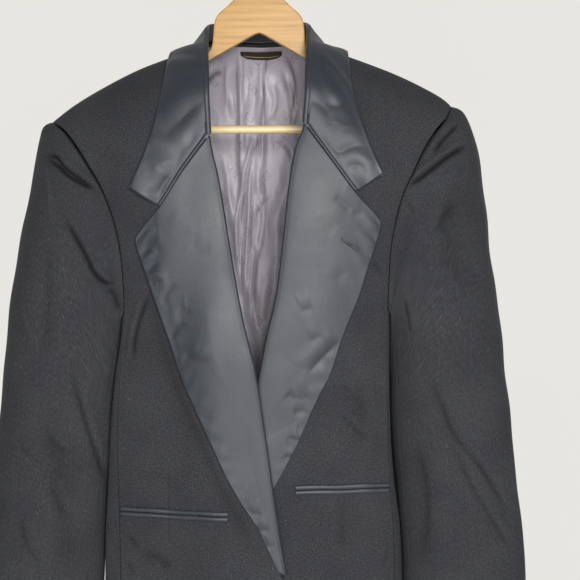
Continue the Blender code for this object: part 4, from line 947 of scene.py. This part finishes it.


# ---------------------------------------------------------------- creases of each piece, in own-side millimetres

# folds: points (own-side distance, height), width, depth, height of the ridge beside
# the troughs of these folds also set each piece's painted crease shade
FOLDS = {
    "sleeve_right": [
        ([(251.3, -261.3), (237.2, -263.6), (225.5, -276.5), (209.1, -288.2), (188.0, -302.3)], 3.0, -3.2, 1.2),
        ([(251.3, -263.6), (234.9, -274.2), (219.7, -287.1), (204.4, -295.3), (186.9, -303.5)], 2.8, -2.6, 0.6),
        ([(252.5, -270.7), (246.6, -296.4), (239.6, -346.8)], 3.0, 1.3, 0),
        ([(227.9, -330.4), (211.5, -356.2), (199.7, -376.1), (186.9, -400.7), (172.8, -411.3), (163.4, -409.0)], 3.2, -2.3, 1.0),
        ([(171.6, -416.0), (164.6, -426.5), (159.9, -445.3)], 4.5, -1.6, 0),
        ([(216.2, -510.9), (204.4, -554.3), (192.7, -595.3), (182.2, -630.5), (177.5, -642.2)], 3.6, -1.5, 0.9),
        ([(277.1, -431.2), (270.1, -452.3), (260.7, -478.1)], 3.2, 0.9, 0),
        ([(279.4, -597.6), (265.4, -612.9), (249.0, -630.5)], 4, -0.7, 0.4),
        ([(246.6, -583.6), (232.6, -600.0), (218.5, -609.4)], 4, -0.6, 0.4),
        ([(244.3, -642.2), (232.6, -665.6), (225.5, -684.4)], 5, -0.6, 0.4),
        ([(277.1, -679.7), (270.1, -712.5), (251.3, -743.0)], 5, -0.9, 0.5),
        ([(241.9, -360.9), (241.9, -431.2), (246.6, -501.5)], 10, -0.7, 0.8),
        ([(267.7, -571.9), (251.3, -665.6), (256.0, -747.7)], 13, 0.8, -0.6),
    ],
    "sleeve_left": [
        ([(237.4, -221.4), (223.3, -235.5), (212.8, -247.2), (201.1, -264.8)], 3.4, -2.0, 0.9),
        ([(245.6, -249.6), (230.4, -257.8), (216.3, -267.1), (201.1, -278.9), (183.5, -291.8), (173.0, -298.8)], 3.2, -3.0, 1.3),
        ([(245.6, -255.4), (244.4, -278.9), (237.4, -302.3)], 3.4, 1.1, 0),
        ([(226.9, -319.9), (212.8, -337.5), (203.4, -356.2)], 7, -0.9, 0.4),
        ([(168.3, -428.9), (173.0, -454.7), (176.5, -471.1)], 2.4, -1.1, 0.4),
        ([(194.0, -513.3), (210.5, -548.4), (224.5, -583.6), (243.3, -607.0), (262.0, -630.5), (280.8, -659.8), (291.3, -682.0)], 4.6, -1.3, 1.0),
        ([(222.2, -590.6), (242.1, -636.3), (259.7, -665.6), (280.8, -700.8), (299.5, -727.7)], 4.2, -1.0, 0.8),
        ([(182.3, -595.3), (194.0, -642.2), (196.4, -689.1), (189.4, -747.7)], 8, -1.0, 0.6),
        ([(262.0, -319.9), (267.9, -372.6)], 3.5, 0.7, 0),
        ([(170.6, -314.0), (176.5, -323.4), (180.0, -332.8)], 3, -0.8, 0.2),
        ([(201.1, -290.6), (198.7, -349.2), (203.4, -419.5)], 11, 0.8, -0.6),
    ],
    "front_right": [
        ([(125.2, -421.8), (136.7, -451.7), (143.6, -479.3), (143.6, -502.3)], 3.0, -1.7, 0.7),
        # wide shallow trough along the lapel's outer edge; its painted shade stands in for the shadow the lapel casts
        # on the front
        ([(129.8, -413.7), (114.8, -467.8), (94.1, -532.2), (67.7, -592.0), (41.2, -647.2), (12.5, -701.3), (-14.0, -753.0)], 9, -0.75, 0),
        ([(153.9, -414.9), (156.2, -459.8), (160.8, -511.5), (165.4, -569.0), (171.2, -628.8)], 2.6, -1.0, 0),
        ([(103.3, -621.9), (103.3, -672.5), (103.3, -730.0)], 1.5, -0.5, 0.2),
        ([(163.1, -701.3), (149.3, -708.2), (137.8, -720.8)], 3, -1.2, 0.6),
        ([(167.7, -725.4), (153.9, -735.8), (144.7, -750.7)], 3, -1.1, 0.5),
        ([(135.5, -725.4), (114.8, -730.0), (98.7, -743.8)], 7, -0.9, 0.4),
        ([(158.5, -580.5), (153.9, -582.8), (147.0, -587.4)], 2.2, -0.5, 0.2),
        ([(124.0, -626.5), (103.3, -640.3), (89.5, -661.0)], 5, -0.4, 0.4),
    ],
    "front_left": [
        ([(133.6, -385.0), (140.5, -395.3), (147.4, -404.5)], 2.4, -0.9, 0.4),
        ([(150.9, -394.2), (150.9, -431.0), (152.0, -477.0), (156.6, -540.3), (150.9, -580.5), (154.3, -609.3), (158.9, -649.5)], 3.2, -1.4, 0),
        ([(80.7, -532.2), (94.5, -531.1), (110.6, -533.4)], 2.6, -0.6, 0.3),
        ([(66.9, -562.1), (94.5, -564.4), (117.5, -584.0), (131.3, -593.2)], 2.8, -0.7, 0.4),
        ([(63.5, -575.9), (64.6, -609.3), (64.6, -644.9)], 1.5, -0.7, 0.2),
        ([(156.6, -710.5), (150.9, -725.4), (145.1, -739.2)], 3, -0.9, 0.5),
        ([(94.5, -661.0), (96.8, -689.8), (94.5, -720.8)], 8, -0.6, 0.4),
        ([(131.3, -523.0), (135.9, -569.0), (131.3, -615.0)], 8, 0.7, -0.4),
    ],
    "lapel_right": [
        ([(132.1, -368.9), (121.7, -373.5), (105.6, -372.3)], 4, -0.5, 0.5),
        ([(124.0, -413.7), (116.0, -409.1), (107.9, -412.6)], 2.6, -0.9, 0.6),
        ([(94.1, -410.3), (103.3, -423.0), (110.2, -437.9)], 3.2, -1.0, 0.7),
        ([(91.8, -440.2), (82.6, -443.7), (75.7, -441.4)], 3.0, -0.7, 0.4),
        ([(82.6, -456.3), (94.1, -465.5), (103.3, -479.3)], 3.2, -1.0, 0.7),
        ([(84.9, -488.5), (71.1, -500.0), (50.4, -500.0)], 3.2, -0.8, 0.8),
        ([(78.0, -366.6), (64.2, -371.2), (52.7, -368.9)], 4.5, -0.5, 0.3),
        ([(101.0, -333.2), (80.3, -344.7), (71.1, -362.0)], 7, 0.6, -0.4),
        ([(13.6, -666.8), (6.7, -674.8), (-4.8, -674.8)], 3.0, -0.8, 0.5),
        ([(4.4, -688.6), (-3.6, -694.4), (-14.0, -692.1)], 2.6, -0.9, 0.6),
        ([(-3.6, -707.0), (-11.7, -712.8), (-19.7, -709.3)], 2.4, -0.8, 0.5),
        ([(60.8, -431.0), (50.4, -488.5), (29.7, -546.0)], 8, 0.6, -0.3),
    ],
    "lapel_left": [
        ([(87.6, -312.5), (98.0, -320.6), (108.3, -332.1)], 3.6, -1.0, 0.5),
        ([(108.3, -329.8), (115.2, -332.1), (121.0, -329.8)], 3.0, -0.8, 0.3),
        ([(68.1, -334.4), (78.4, -345.9), (89.9, -352.8)], 5, -0.4, 0.3),
        ([(48.5, -444.8), (55.4, -442.5), (64.6, -440.2)], 3.4, -0.7, 0.5),
        ([(73.8, -470.1), (66.9, -474.7), (57.7, -477.0)], 3.0, -0.6, 0.4),
        ([(96.8, -474.7), (83.0, -488.5), (69.2, -502.3), (55.4, -518.4)], 3.6, -1.3, 0.9),
        ([(32.4, -536.8), (43.9, -543.7), (62.3, -543.7)], 5, -1.1, 0.7),
        ([(39.3, -559.8), (53.1, -559.8), (64.6, -566.7)], 4, -1.0, 0.7),
        ([(34.7, -587.4), (43.9, -592.0), (50.8, -589.7)], 3.0, -0.9, 0.6),
        ([(30.1, -608.1), (37.0, -612.7), (45.1, -609.3)], 2.8, -0.9, 0.6),
        ([(101.4, -396.5), (94.5, -403.4), (89.9, -412.6)], 4, -0.4, 0.3),
    ],
    "collar_right": [
        ([(66.4, -210.4), (82.5, -219.6), (98.6, -235.7), (110.0, -249.5)], 8, -1.1, 0.8),
        ([(68.7, -233.4), (80.2, -254.1), (94.0, -261.0)], 6, -0.7, 0.5),
        ([(100.8, -288.5), (107.7, -297.7), (114.6, -313.8)], 3.6, -1.3, 0.8),
        ([(123.8, -283.9), (110.0, -274.8), (91.7, -270.2)], 5, 0.7, -0.3),
    ],
    "collar_left": [
        ([(78.4, -203.5), (89.8, -208.1), (103.6, -205.8)], 5, -0.9, 0.5),
        ([(71.5, -235.7), (80.7, -249.5), (92.1, -261.0), (108.2, -255.2), (126.6, -256.4)], 4.6, -1.3, 0.9),
        ([(101.3, -279.4), (115.1, -277.1), (126.6, -286.2)], 3.6, -1.1, 0.7),
        ([(82.9, -221.9), (99.0, -231.1), (115.1, -228.8)], 5, 0.6, -0.3),
    ],
    "lining_left": [
        ([(-28.0, -127.6), (-29.2, -174.2), (-29.2, -217.1), (-29.2, -260.0), (-26.8, -294.4)], 1.9, -3.2, 1.6),
        ([(8.8, -128.8), (5.1, -161.9), (2.7, -213.4)], 2.6, -2.2, 1.4),
        ([(-3.5, -226.9), (-4.7, -238.0), (-9.6, -250.2), (-18.2, -290.7), (-24.3, -333.6), (-24.3, -385.2), (-21.9, -431.8)], 2.4, -2.2, 1.8),
        ([(-7.2, -257.6), (-9.6, -309.1), (-12.1, -358.2), (-14.5, -431.8)], 2.2, -1.8, 1.4),
        ([(30.9, -130.0), (40.7, -152.1), (43.1, -174.2), (37.0, -215.9)], 2.4, -2.2, 1.4),
        ([(-64.8, -166.8), (-57.5, -157.0), (-46.4, -149.6)], 3.0, -3.0, 1.0),
        ([(-56.2, -238.0), (-45.2, -303.0), (-34.1, -371.7), (-24.3, -431.8)], 3.5, -1.4, 1.2),
        ([(18.6, -233.0), (34.5, -247.8), (40.7, -274.8)], 2.6, -1.8, 1.2),
        ([(2.7, -272.3), (10.0, -327.5), (2.7, -385.2)], 3.0, -1.4, 1.2),
        ([(14.9, -296.8), (2.7, -315.2), (-4.7, -326.3)], 2.0, -1.2, 0.8),
        ([(-41.5, -137.4), (-44.0, -168.0), (-39.1, -211.0)], 3.4, -1.0, 0.8),
        ([(-13.3, -137.4), (-9.6, -168.0), (-14.5, -208.5)], 3.0, -1.2, 1.0),
        ([(21.1, -161.9), (24.7, -186.4), (18.6, -213.4)], 3.0, -1.0, 0.8),
        ([(2.7, -370.4), (-4.7, -395.0), (-9.6, -468.6)], 3.0, -1.4, 1.0),
    ],
}

BACK_CREASES = [(20, -300, 15, -560, 6, 20, 1.6), (110, -260, 165, -380, 8, 16, -2.0), (150, -420, 100, -640, 8, 22, 1.8), (60, -480, 75, -760, -6, 22, -1.8), (160, -600, 120, -800, 6, 16, -1.6)]


def body_relief(side, part, g, w):
    e, z = g[..., 0], g[..., 2]
    folds = fold_field(FOLDS["front_" + side], e, z) if part == "front" else crease_field(BACK_CREASES if part == "back" else [], e, z)
    d = folds * 1.0
    d = d + ripples(e, z, 11 if side == "right" else 23, 5, 60, 190, 10, 0.7)
    edge = np.ones(g.shape[:2])
    k = np.linspace(0, 1, g.shape[1])[None, :]
    edge = smooth(k / 0.10) * smooth((1 - k) / 0.08)
    v = np.linspace(0, 1, g.shape[0])[:, None]
    edge = edge * smooth(v / 0.04)
    if part == "front" and side == "left":     # kept flat where the other front lies over it
        edge = edge * smooth((e - 55) / 40)
    d = d * edge
    if part != "side":                          # armhole edge turns in to its seam
        last = np.linalg.norm(g[:, -1:] - g, axis=-1)
        d = d - 0.35 * np.exp(-(last / 2.5) ** 2) * smooth((g[:, -1:, 2] - UNDERARM_Z[side]) / 20)
    # the second value is the painted crease shade of the panel's folds
    return d, hollow(folds * edge, 3.5)


FINE_V = np.concatenate([np.linspace(0, 0.34, 64)[:-1], np.linspace(0.34, 0.86, 120)[:-1], np.linspace(0.86, 1.0, 41)])   # 223 rows
FINE_U = np.linspace(0, 1, 118)
BACK_U = np.concatenate([np.linspace(0, 0.27, 26)[:-1], np.linspace(0.27, 1, 60)])
wool_out = {}
for side in ("right", "left"):
    heights = np.linspace(UNDERARM_Z[side] - 2.0, HEM_Z, 121)
    grids = {
        "front": inset(front_panel(side, FINE_U, FINE_V), SEAM * 0.6, first=False, bottom=False),
        "back": inset(back_panel(side, BACK_U, FINE_V), SEAM * 0.6, bottom=False),
        "side": inset(side_panel(side, 58, heights, 10), SEAM * 0.6, top=False, bottom=False),
    }
    walls = {k: wall_directions(g, MID) for k, g in grids.items()}
    plain = {k: w.copy() for k, w in walls.items()}
    for k, col in (("front", 0), ("back", -1)):
        zb, zs = grids[k][:, -1, 2], grids["side"][:, col, 2]
        walls[k][:, -1] = mitre(plain[k], -1, zb, zs, plain["side"][:, col], UNDERARM_Z[side])
        walls["side"][:, col] = mitre(plain["side"], col, zs, zb, plain[k][:, -1], 0.0)
        walls[k][0] = np.array([0, 0, -1.0])
    walls["back"][:, 0] = unit(walls["back"][:, 0] * [0, 1, 1])
    walls["back"][0] = np.array([0, 0, -1.0])
    for k, g in grids.items():
        d, dark = body_relief(side, k, g, plain[k])
        outer, inner = world(g - plain[k] * d[..., None], side), world(under_layer(g, walls[k], d, WALL * 0.9), side)
        ob = fine_mesh(f"cloth_{k}_{side}", outer, inner, "wool", [f"{k}_{side}"], 3, dark)
        declare(g)

    steps = np.concatenate([np.linspace(0.0, 1.2, 30)[:-1], np.linspace(1.2, 8, 186)[:-1], np.linspace(8, 13, 105)])   # 319 rows, 3 more turned in
    f_seam, b_seam = SLEEVE_SEAMS
    n_top, n_under = 190, 61
    top_a = np.concatenate([np.linspace(b_seam - 2.0, 0, 47)[:-1], np.linspace(0, f_seam, n_top - 46)])
    under_a = np.linspace(f_seam, b_seam, n_under)
    tube = sleeve_ring(side, steps, np.concatenate([top_a, under_a[1:]]) * np.pi)
    tube[..., 0] += (0.25 + 1.75 * smooth(steps / 1.6))[:, None]
    axis = tube.mean(1, keepdims=True)
    w = wall_directions(tube, axis, closed=True)
    front_facing = smooth((w[..., 1] + 0.15) / 0.5)        # wall direction points in, so +Y is the front of the sleeve
    d = fold_field(FOLDS["sleeve_" + side], tube[..., 0], tube[..., 2]) * front_facing
    d += fold_field(FOLDS["sleeve_" + side][3:], tube[..., 0], tube[..., 2] + 24) * smooth((-w[..., 1] - 0.1) / 0.4) * 0.9
    # painted crease shade of the sleeve's folds
    dark = hollow(d, 3.5)
    d += ripples(tube[..., 1], tube[..., 2], 5 if side == "right" else 9, 5, 70, 200, 70, 1.0)
    # the head swells over its seam, then falls
    d += (0.5 * np.exp(-((steps - 0.5) / 0.45) ** 2) - 0.4 * np.exp(-(steps / 0.12) ** 2))[:, None] * smooth((tube[..., 2] - UNDERARM_Z[side] - 20) / 90)
    d *= smooth((steps + 0.05) / 0.35)[:, None]
    d[0] = -0.3
    base = tube
    tube = base - w * d[..., None]
    tube_in = under_layer(base, w, d, WALL * 0.9)
    tube_in[0] = tube[0] + w[0] * WALL * 0.9
    # turned in under the body's edge
    turn, turn_in = [], []
    for inward, under, back in ((3.4, -3.0, -1.2), (2.9, -1.6, -0.2), (1.6, -0.3, 0.9)):
        q = tube[0] + w[0] * inward
        q[:, 0] += under
        turn.append(q)
        r = tube[0] + w[0] * (inward + 1.2)
        r[:, 0] += back
        turn_in.append(r)
    tube = np.concatenate([np.array(turn), tube])
    dark = np.concatenate([np.repeat(dark[:1], 3, 0), dark])
    # painted shade in the turned-in rows, where the sleeve tucks under the body's edge
    dark[:4] = np.maximum(dark[:4], 0.8)
    tube_in = np.concatenate([np.array(turn_in), tube_in])
    for piece, cut in (("top", slice(0, n_top)), ("under", slice(n_top - 1, None))):
        a, b = (inset(g[:, cut], SEAM * 0.6, top=False, bottom=False) for g in (tube, tube_in))
        ob = fine_mesh(f"cloth_sleeve_{piece}_{side}", world(a, side), world(b, side), "wool", [f"sleeve_{piece}_{side}"], 3, dark[:, cut])
        declare(a)

    # lapel
    shares = np.linspace(0, 1, 60)
    mid = lapel_mid(side, rows=240, shares=shares, arc=np.radians(np.linspace(-90, 90, 15)))
    n = grid_normals(mid)
    n = n * (1.0 if n[100, -3, 1] < 0 else -1.0)
    e, z = mid[..., 0], mid[..., 2]
    k = np.concatenate([np.zeros(16), shares[1:]])[None, :]
    v = np.linspace(0, 1, 240)[:, None]
    puck = np.sin(v * 2 * np.pi * 19 + 2.1 * np.sin(v * 17) + k * 3.0) * np.exp(-((k - 0.90) / 0.10) ** 2) * 0.6 * (0.6 + 0.4 * np.sin(v * 13 + 1))
    soft = ripples(e, z, 31 if side == "right" else 47, 8, 26, 110, 20, 0.8) * smooth((k - 0.12) / 0.3)
    fade = smooth((1 - v) / 0.12)
    marks = fold_field([(q, 1.7 * wd, dp, bs) for q, wd, dp, bs in FOLDS["lapel_" + side]], e, z) * smooth((k - 0.06) / 0.05)
    mid = mid + n * ((puck + soft + 0.55 * marks) * fade)[..., None]
    a, b = mid + n * 0.85, mid - n * 0.85
    # satin darkened by painted crease shade in the lapel's marks
    ob = fine_mesh(f"satin_lapel_{side}", world(a, side), world(b, side), "satin", [f"lapel_{side}"], 1, hollow(marks, 3.0))
    declare(mid)

# collar
TS = np.concatenate([np.linspace(0, 0.18, 40)[:-1], np.linspace(0.18, 0.26, 40)[:-1], np.linspace(0.26, 1.0, 110)])
SH = np.linspace(0, 1, 33)[1:]
right = world(collar_half("right", TS, SH, 14, 12), "right")
left = world(collar_half("left", TS, SH, 14, 12), "left")
seam = (right[-1] + left[-1]) / 2
seam[:, 0] = 0.0
collar = np.concatenate([right[:-1], seam[None], left[:-1][::-1]])
cn = grid_normals(collar)
cn = cn * (1.0 if cn[20, -4, 1] < 0 else -1.0)
ck = np.linspace(0, 1, collar.shape[1])[None, :]
rip = ripples(collar[..., 0] + collar[..., 1], collar[..., 2], 77, 8, 24, 80, 30, 0.9) * smooth((ck - 0.45) / 0.2) * smooth((1.0 - ck) / 0.06)
front_part = smooth((-collar[..., 1] - 20) / 20) * smooth((ck - 0.4) / 0.15)
marks = sum(fold_field([(q, 1.5 * wd, dp, bs) for q, wd, dp, bs in FOLDS["collar_" + s]], collar[..., 0] * SIGN[s], collar[..., 2]) * (collar[..., 0] * SIGN[s] > 0) for s in ("right", "left")) * front_part
collar = collar + cn * (rip + 0.55 * marks)[..., None]
# satin darkened by painted crease shade in the collar's marks
ob = fine_mesh("satin_collar", collar + cn * 0.85, collar - cn * 0.85, "satin", ["collar"], 1, hollow(marks, 3.0))
declare(collar)

# pocket jets: soft half-round strips
POCKET = {"right": Table("e z", (34, -679), (105, -678), (176, -675.5)), "left": Table("e z", (43, -650), (98, -649.5), (152, -649))}
JET_H, SLIT = 5.0, 0.8
for side in ("right", "left"):
    for name, s0 in (("upper", 1.0), ("lower", -1.0)):
        e = np.linspace(POCKET[side].columns["e"][0], min(POCKET[side].columns["e"][-1], FRONT_OUT[side].read("e", "z", -665) - 3), 90)
        zc = POCKET[side].read("z", "e", e)
        g, gi = [], []
        for t in np.linspace(0, 1, 12):
            z = zc + s0 * (SLIT / 2 + JET_H * t) + 0.25 * np.sin(e / 9.0 + t)
            h = 1.5 + 1.5 * math.sin(math.pi * (0.06 + 0.88 * t)) ** 0.6 + 0.15 * np.sin(e / 6.0)
            g.append(on_shell(side, e, z, h))
            gi.append(on_shell(side, e, z, np.full_like(e, 1.2)))
        ob = fine_mesh(f"satin_jet_{name}_{side}", world(np.array(g), side), world(np.array(gi), side), "satin", [f"jet_{name}_{side}"])
        # a folded strip: its cut is twice what shows, plus the turnings; only the size of what shows is measured here
        w, l, a = cut_size(np.array(g))


def lathe(name, profile, centre, axis, mat, nodes, count=72):
    axis = unit(np.asarray(axis, float))
    a = unit(np.cross(axis, [0.3, 0.1, 1.0]))
    b = np.cross(axis, a)
    verts, faces, rings = [], [], []
    for r, h in profile:
        ring = []
        for k in range(count if r > 1e-6 else 1):
            t = 2 * np.pi * k / count
            ring.append(len(verts))
            verts.append((centre + axis * h + (a * np.cos(t) + b * np.sin(t)) * r) / 1000.0)
        rings.append(ring)
    for lo, hi in zip(rings, rings[1:]):
        for k in range(count):
            i, j, m, n = k % len(lo), (k + 1) % len(lo), k % len(hi), (k + 1) % len(hi)
            faces.append((lo[0], hi[m], hi[n]) if len(lo) == 1 else ((lo[i], hi[0], lo[j]) if len(hi) == 1 else (lo[i], hi[m], hi[n], lo[j])))
    vol = sum(float(np.dot(verts[f[0]], np.cross(verts[f[k]], verts[f[k + 1]]))) for f in faces for k in range(1, len(f) - 1))
    if vol < 0:
        faces = [tuple(reversed(f)) for f in faces]
    me = bpy.data.meshes.new(name)
    me.from_pydata([tuple(map(float, v)) for v in verts], [], faces)
    me.shade_smooth()
    ob = bpy.data.objects.new(name, me)
    bpy.context.scene.collection.objects.link(ob)
    me.materials.append(MATS[mat])
    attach(ob, "root")
    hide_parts(*nodes)
    return ob


BUTTON_E, BUTTON_Z, BUTTON_R = -17.0, -785.0, 10.0
bn = shell_normal("right", np.array([BUTTON_E]), np.array([BUTTON_Z]))[0]
bp = np.array([BUTTON_E, float(front_y("right", BUTTON_E, BUTTON_Z)), BUTTON_Z])
bn[0] *= -1
bp[0] *= -1
dome = [(0, 0.6), (7.5, 0.6), (9.2, 1.0)] + [(BUTTON_R * math.cos(t) ** 0.5, 2.2 + 3.2 * math.sin(t)) for t in np.linspace(0, 1.5, 14)] + [(0, 5.4)]
lathe("satin_button", dome, bp, bn, "satin", ["front_button"])

# back lining with its centre pleat and soft folds
LINING_OFF, LINING_T = WALL + 1.8, 0.8
us = np.concatenate([np.linspace(0, 0.27, 60)[:-1], np.linspace(0.27, 1, 80)])
halves = []
for side in ("right", "left"):
    g = back_panel(side, us, FINE_V[:-14])[:, :-14]
    w = wall_directions(g, MID)
    w[:, 0] = unit(w[:, 0] * [0, 1, 1])
    halves.append([world((g + w * d)[6:], side) for d in (LINING_OFF, LINING_OFF + LINING_T)] + [(w * [SIGN[side], 1, 1])[6:]])
outer = np.concatenate([halves[0][0][:, ::-1], halves[1][0][:, 1:]], 1)
inner = np.concatenate([halves[0][1][:, ::-1], halves[1][1][:, 1:]], 1)
wd = np.concatenate([halves[0][2][:, ::-1], halves[1][2][:, 1:]], 1)
LINING_FOLDS = [
    # x0 z0 x1 z1 bow width depth; positive stands forward
    (-26, -122, -22, -300, 2, 3.5, 2.2), (-31, -122, -28, -290, 2, 3.0, -0.8), (2, -160, 3, -260, 1, 2.5, 2.0), (4, -170, -10, -330, 4, 6, 2.6), (-12, -250, -6, -470, -5, 7, 3.0),
    (30, -150, 40, -215, 4, 4, 2.2), (40, -230, 20, -330, 5, 8, 1.8), (-50, -150, -60, -260, 3, 8, 1.6), (-44, -300, -20, -420, 5, 9, 2.0), (22, -330, 6, -470, 4, 7, 2.2),
    (60, -200, 66, -420, 5, 12, 2.0), (-70, -260, -64, -480, 5, 12, 2.0), (0, -480, 4, -860, 3, 8, 2.4), (-60, -520, -66, -850, 5, 14, 2.0), (70, -520, 60, -850, 5, 14, 2.0),
]
lf = 1.5 * crease_field(LINING_FOLDS, inner[..., 0], inner[..., 2]) + ripples(inner[..., 0], inner[..., 2], 3, 8, 18, 60, 5, 0.9)
pleats = fold_field(FOLDS["lining_left"], inner[..., 0], inner[..., 2])
lf = lf + 1.2 * np.maximum(pleats, -0.4)
lf = np.maximum(lf, -0.5) * smooth(np.linspace(0, 1, inner.shape[0]) / 0.02)[:, None]
# the pleats stand forward only a little; their dark lines are painted shade
ob = fine_mesh("satin_back_lining", inner + wd * lf[..., None], outer - wd * 0.5, "lining", ["back_lining"], 2, hollow(pleats, 3.2))
declare(inner)

# bare neck label with a thin gold edge line
LABEL = Table("x low high", (-24, -127, -123), (-14, -131, -122.5), (8, -132, -122.5), (22, -130, -122.5), (27, -127, -123))


def label_strip(name, x0, x1, s0, s1, lift, thick, mat, nodes):
    lx = np.linspace(x0, x1, 60)
    a, b = [], []
    for s in np.linspace(s0, s1, 10):
        z = LABEL.read("low", "x", lx) * (1 - s) + LABEL.read("high", "x", lx) * s
        for out, h in ((a, lift + thick), (b, lift)):
            p = on_shell("left", np.abs(lx), z, np.full_like(lx, -(LINING_OFF + LINING_T + h)), at_back=True)
            out.append(np.stack([lx, p[:, 1], p[:, 2]], -1))
    return fine_mesh(name, np.array(a), np.array(b), mat, nodes), np.array(a)


ob, g = label_strip("bare_neck_label", -24, 27, 0, 1, 1.9, 0.7, "label", ["neck_label"])
declare(g)
ob, g = label_strip("label_edge_line", -19, 23, 0.30, 0.38, 2.65, 0.15, "gold", [])

# worked buttonhole on the wearer's left lapel
def cord_mesh(name, pts, radius, mat, sides=8):
    pts = np.asarray(pts, float)
    t = unit(np.gradient(pts, axis=0))
    a = unit(np.cross(t, [0.2, 1.0, 0.1]))
    b = np.cross(t, a)
    ang = np.linspace(0, 2 * np.pi, sides, endpoint=False)
    ring = pts[:, None] + (a[:, None] * np.cos(ang)[None, :, None] + b[:, None] * np.sin(ang)[None, :, None]) * radius
    n = len(pts)
    verts = np.concatenate([ring.reshape(-1, 3), pts[:1], pts[-1:]]) / 1000.0
    faces = []
    for i in range(n - 1):
        for k in range(sides):
            j = (k + 1) % sides
            faces.append((i * sides + k, i * sides + j, (i + 1) * sides + j, (i + 1) * sides + k))
    for k in range(sides):
        j = (k + 1) % sides
        faces.append((n * sides, j, k))
        faces.append((n * sides + 1, (n - 1) * sides + k, (n - 1) * sides + j))
    vol = sum(float(np.dot(verts[f[0]], np.cross(verts[f[k]], verts[f[k + 1]]))) for f in faces for k in range(1, len(f) - 1))
    if vol < 0:
        faces = [tuple(reversed(f)) for f in faces]
    me = bpy.data.meshes.new(name)
    me.from_pydata([tuple(map(float, v)) for v in verts], [], faces)
    me.shade_smooth()
    ob = bpy.data.objects.new(name, me)
    bpy.context.scene.collection.objects.link(ob)
    me.materials.append(MATS[mat])
    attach(ob, "root")
    return ob


MATS["thread"] = satin_material("buttonhole_thread", (0.008, 0.008, 0.009), (0.016, 0.016, 0.018))
h0, h1 = np.array([96.0, -361.0]), np.array([115.5, -374.0])
d = (h1 - h0) / np.linalg.norm(h1 - h0)
s = np.array([-d[1], d[0]])
path = []
for k in np.linspace(0, 1, 130):                    # whipped stitches over the slit
    c = h0 + (h1 - h0) * k
    q = c + s * 1.9 * math.sin(k * 2 * math.pi * 32)
    path.append(q)
path = np.array(path)
top = (mid + n * 0.85)[:, 18:].reshape(-1, 3)      # face of the left lapel
near = np.array([((top[:, ::2] - q) ** 2).sum(1).argmin() for q in path])
wave = np.cos(np.linspace(0, 1, 130) * 2 * np.pi * 64)
pts = np.stack([path[:, 0], np.convolve(np.pad(top[near, 1], 6, mode="edge"), np.ones(13) / 13, "valid") - 0.7 + 0.3 * wave, path[:, 1]], -1)
cord_mesh("lapel_buttonhole", pts, 0.85, "thread")

# ---------------------------------------------------------------- floor, light, camera

def floor_material():
    m, nt, ln, p = nodes_of("pale_floor")
    uv = nt.new("ShaderNodeTexCoord")
    f = link_noise(nt, ln, uv.outputs["Object"], 3.0, 2.0, 0.5)
    ln.new(ramp(nt, ln, f, [(0.3, (0.78, 0.775, 0.75)), (0.7, (0.81, 0.805, 0.78))]), p.inputs["Base Color"])
    p.inputs["Roughness"].default_value = 0.9
    return m


fm = bpy.data.meshes.new("floor")
FLOOR_Z = -1.55
fm.from_pydata([(-3, -3, FLOOR_Z), (3, -3, FLOOR_Z), (3, 3, FLOOR_Z), (-3, 3, FLOOR_Z)], [], [(0, 1, 2, 3)])
fo = bpy.data.objects.new("floor", fm)
bpy.context.scene.collection.objects.link(fo)
fm.materials.append(floor_material())

world_bg = bpy.data.worlds.new("studio")
bpy.context.scene.world = world_bg
world_bg.use_nodes = True
bg = world_bg.node_tree.nodes["Background"]
bg.inputs["Color"].default_value = (0.80, 0.80, 0.79, 1)
bg.inputs["Strength"].default_value = 0.26


def backdrop():
    m, nt, ln, p = nodes_of("pale_backdrop")
    uv = nt.new("ShaderNodeTexCoord")
    f = link_noise(nt, ln, uv.outputs["Object"], 2.0, 1.0, 0.5)
    colour = ramp(nt, ln, f, [(0.3, (0.800, 0.785, 0.745)), (0.7, (0.810, 0.795, 0.755))])
    ln.new(colour, p.inputs["Emission Color"])
    p.inputs["Emission Strength"].default_value = 1.0
    p.inputs["Base Color"].default_value = (0.0, 0.0, 0.0, 1)
    p.inputs["Specular IOR Level"].default_value = 0.0
    p.inputs["Roughness"].default_value = 1.0
    me = bpy.data.meshes.new("backdrop")
    me.from_pydata([(-3, 1.6, FLOOR_Z), (3, 1.6, FLOOR_Z), (3, 1.6, 2.0), (-3, 1.6, 2.0)], [], [(0, 1, 2, 3)])
    me.materials.append(m)
    o = bpy.data.objects.new("backdrop", me)
    bpy.context.scene.collection.objects.link(o)


backdrop()


def area(name, loc, target, size, power, colour=(1, 1, 1)):
    L = bpy.data.lights.new(name, "AREA")
    L.energy, L.size, L.color = power, size, colour
    L.shape = "SQUARE"
    o = bpy.data.objects.new(name, L)
    bpy.context.scene.collection.objects.link(o)
    o.location = loc
    dx, dy, dz = (t - l for t, l in zip(target, loc))
    o.rotation_euler = (math.atan2(math.hypot(dx, dy), -dz), 0, math.atan2(dy, dx) - math.pi / 2)
    return o


area("key", (0.55, -2.55, 0.15), (0, 0, -0.4), 0.7, 38, (1.0, 0.99, 0.975))
area("front", (-0.25, -2.7, -0.5), (0, 0, -0.45), 1.1, 24)
area("low", (0.3, -2.4, -1.2), (0, 0, -0.5), 0.8, 7)

bpy.context.scene.view_settings.view_transform = "Standard"
cam = bpy.data.cameras.new("camera")
cam.sensor_width = 36.0
cam.lens = 1591.3 * 36.0 / 580.0
co = bpy.data.objects.new("camera", cam)
bpy.context.scene.collection.objects.link(co)
co.location = (0.037, -1.9, -0.4195)
co.rotation_euler = (math.pi / 2, 0, 0)
bpy.context.scene.camera = co
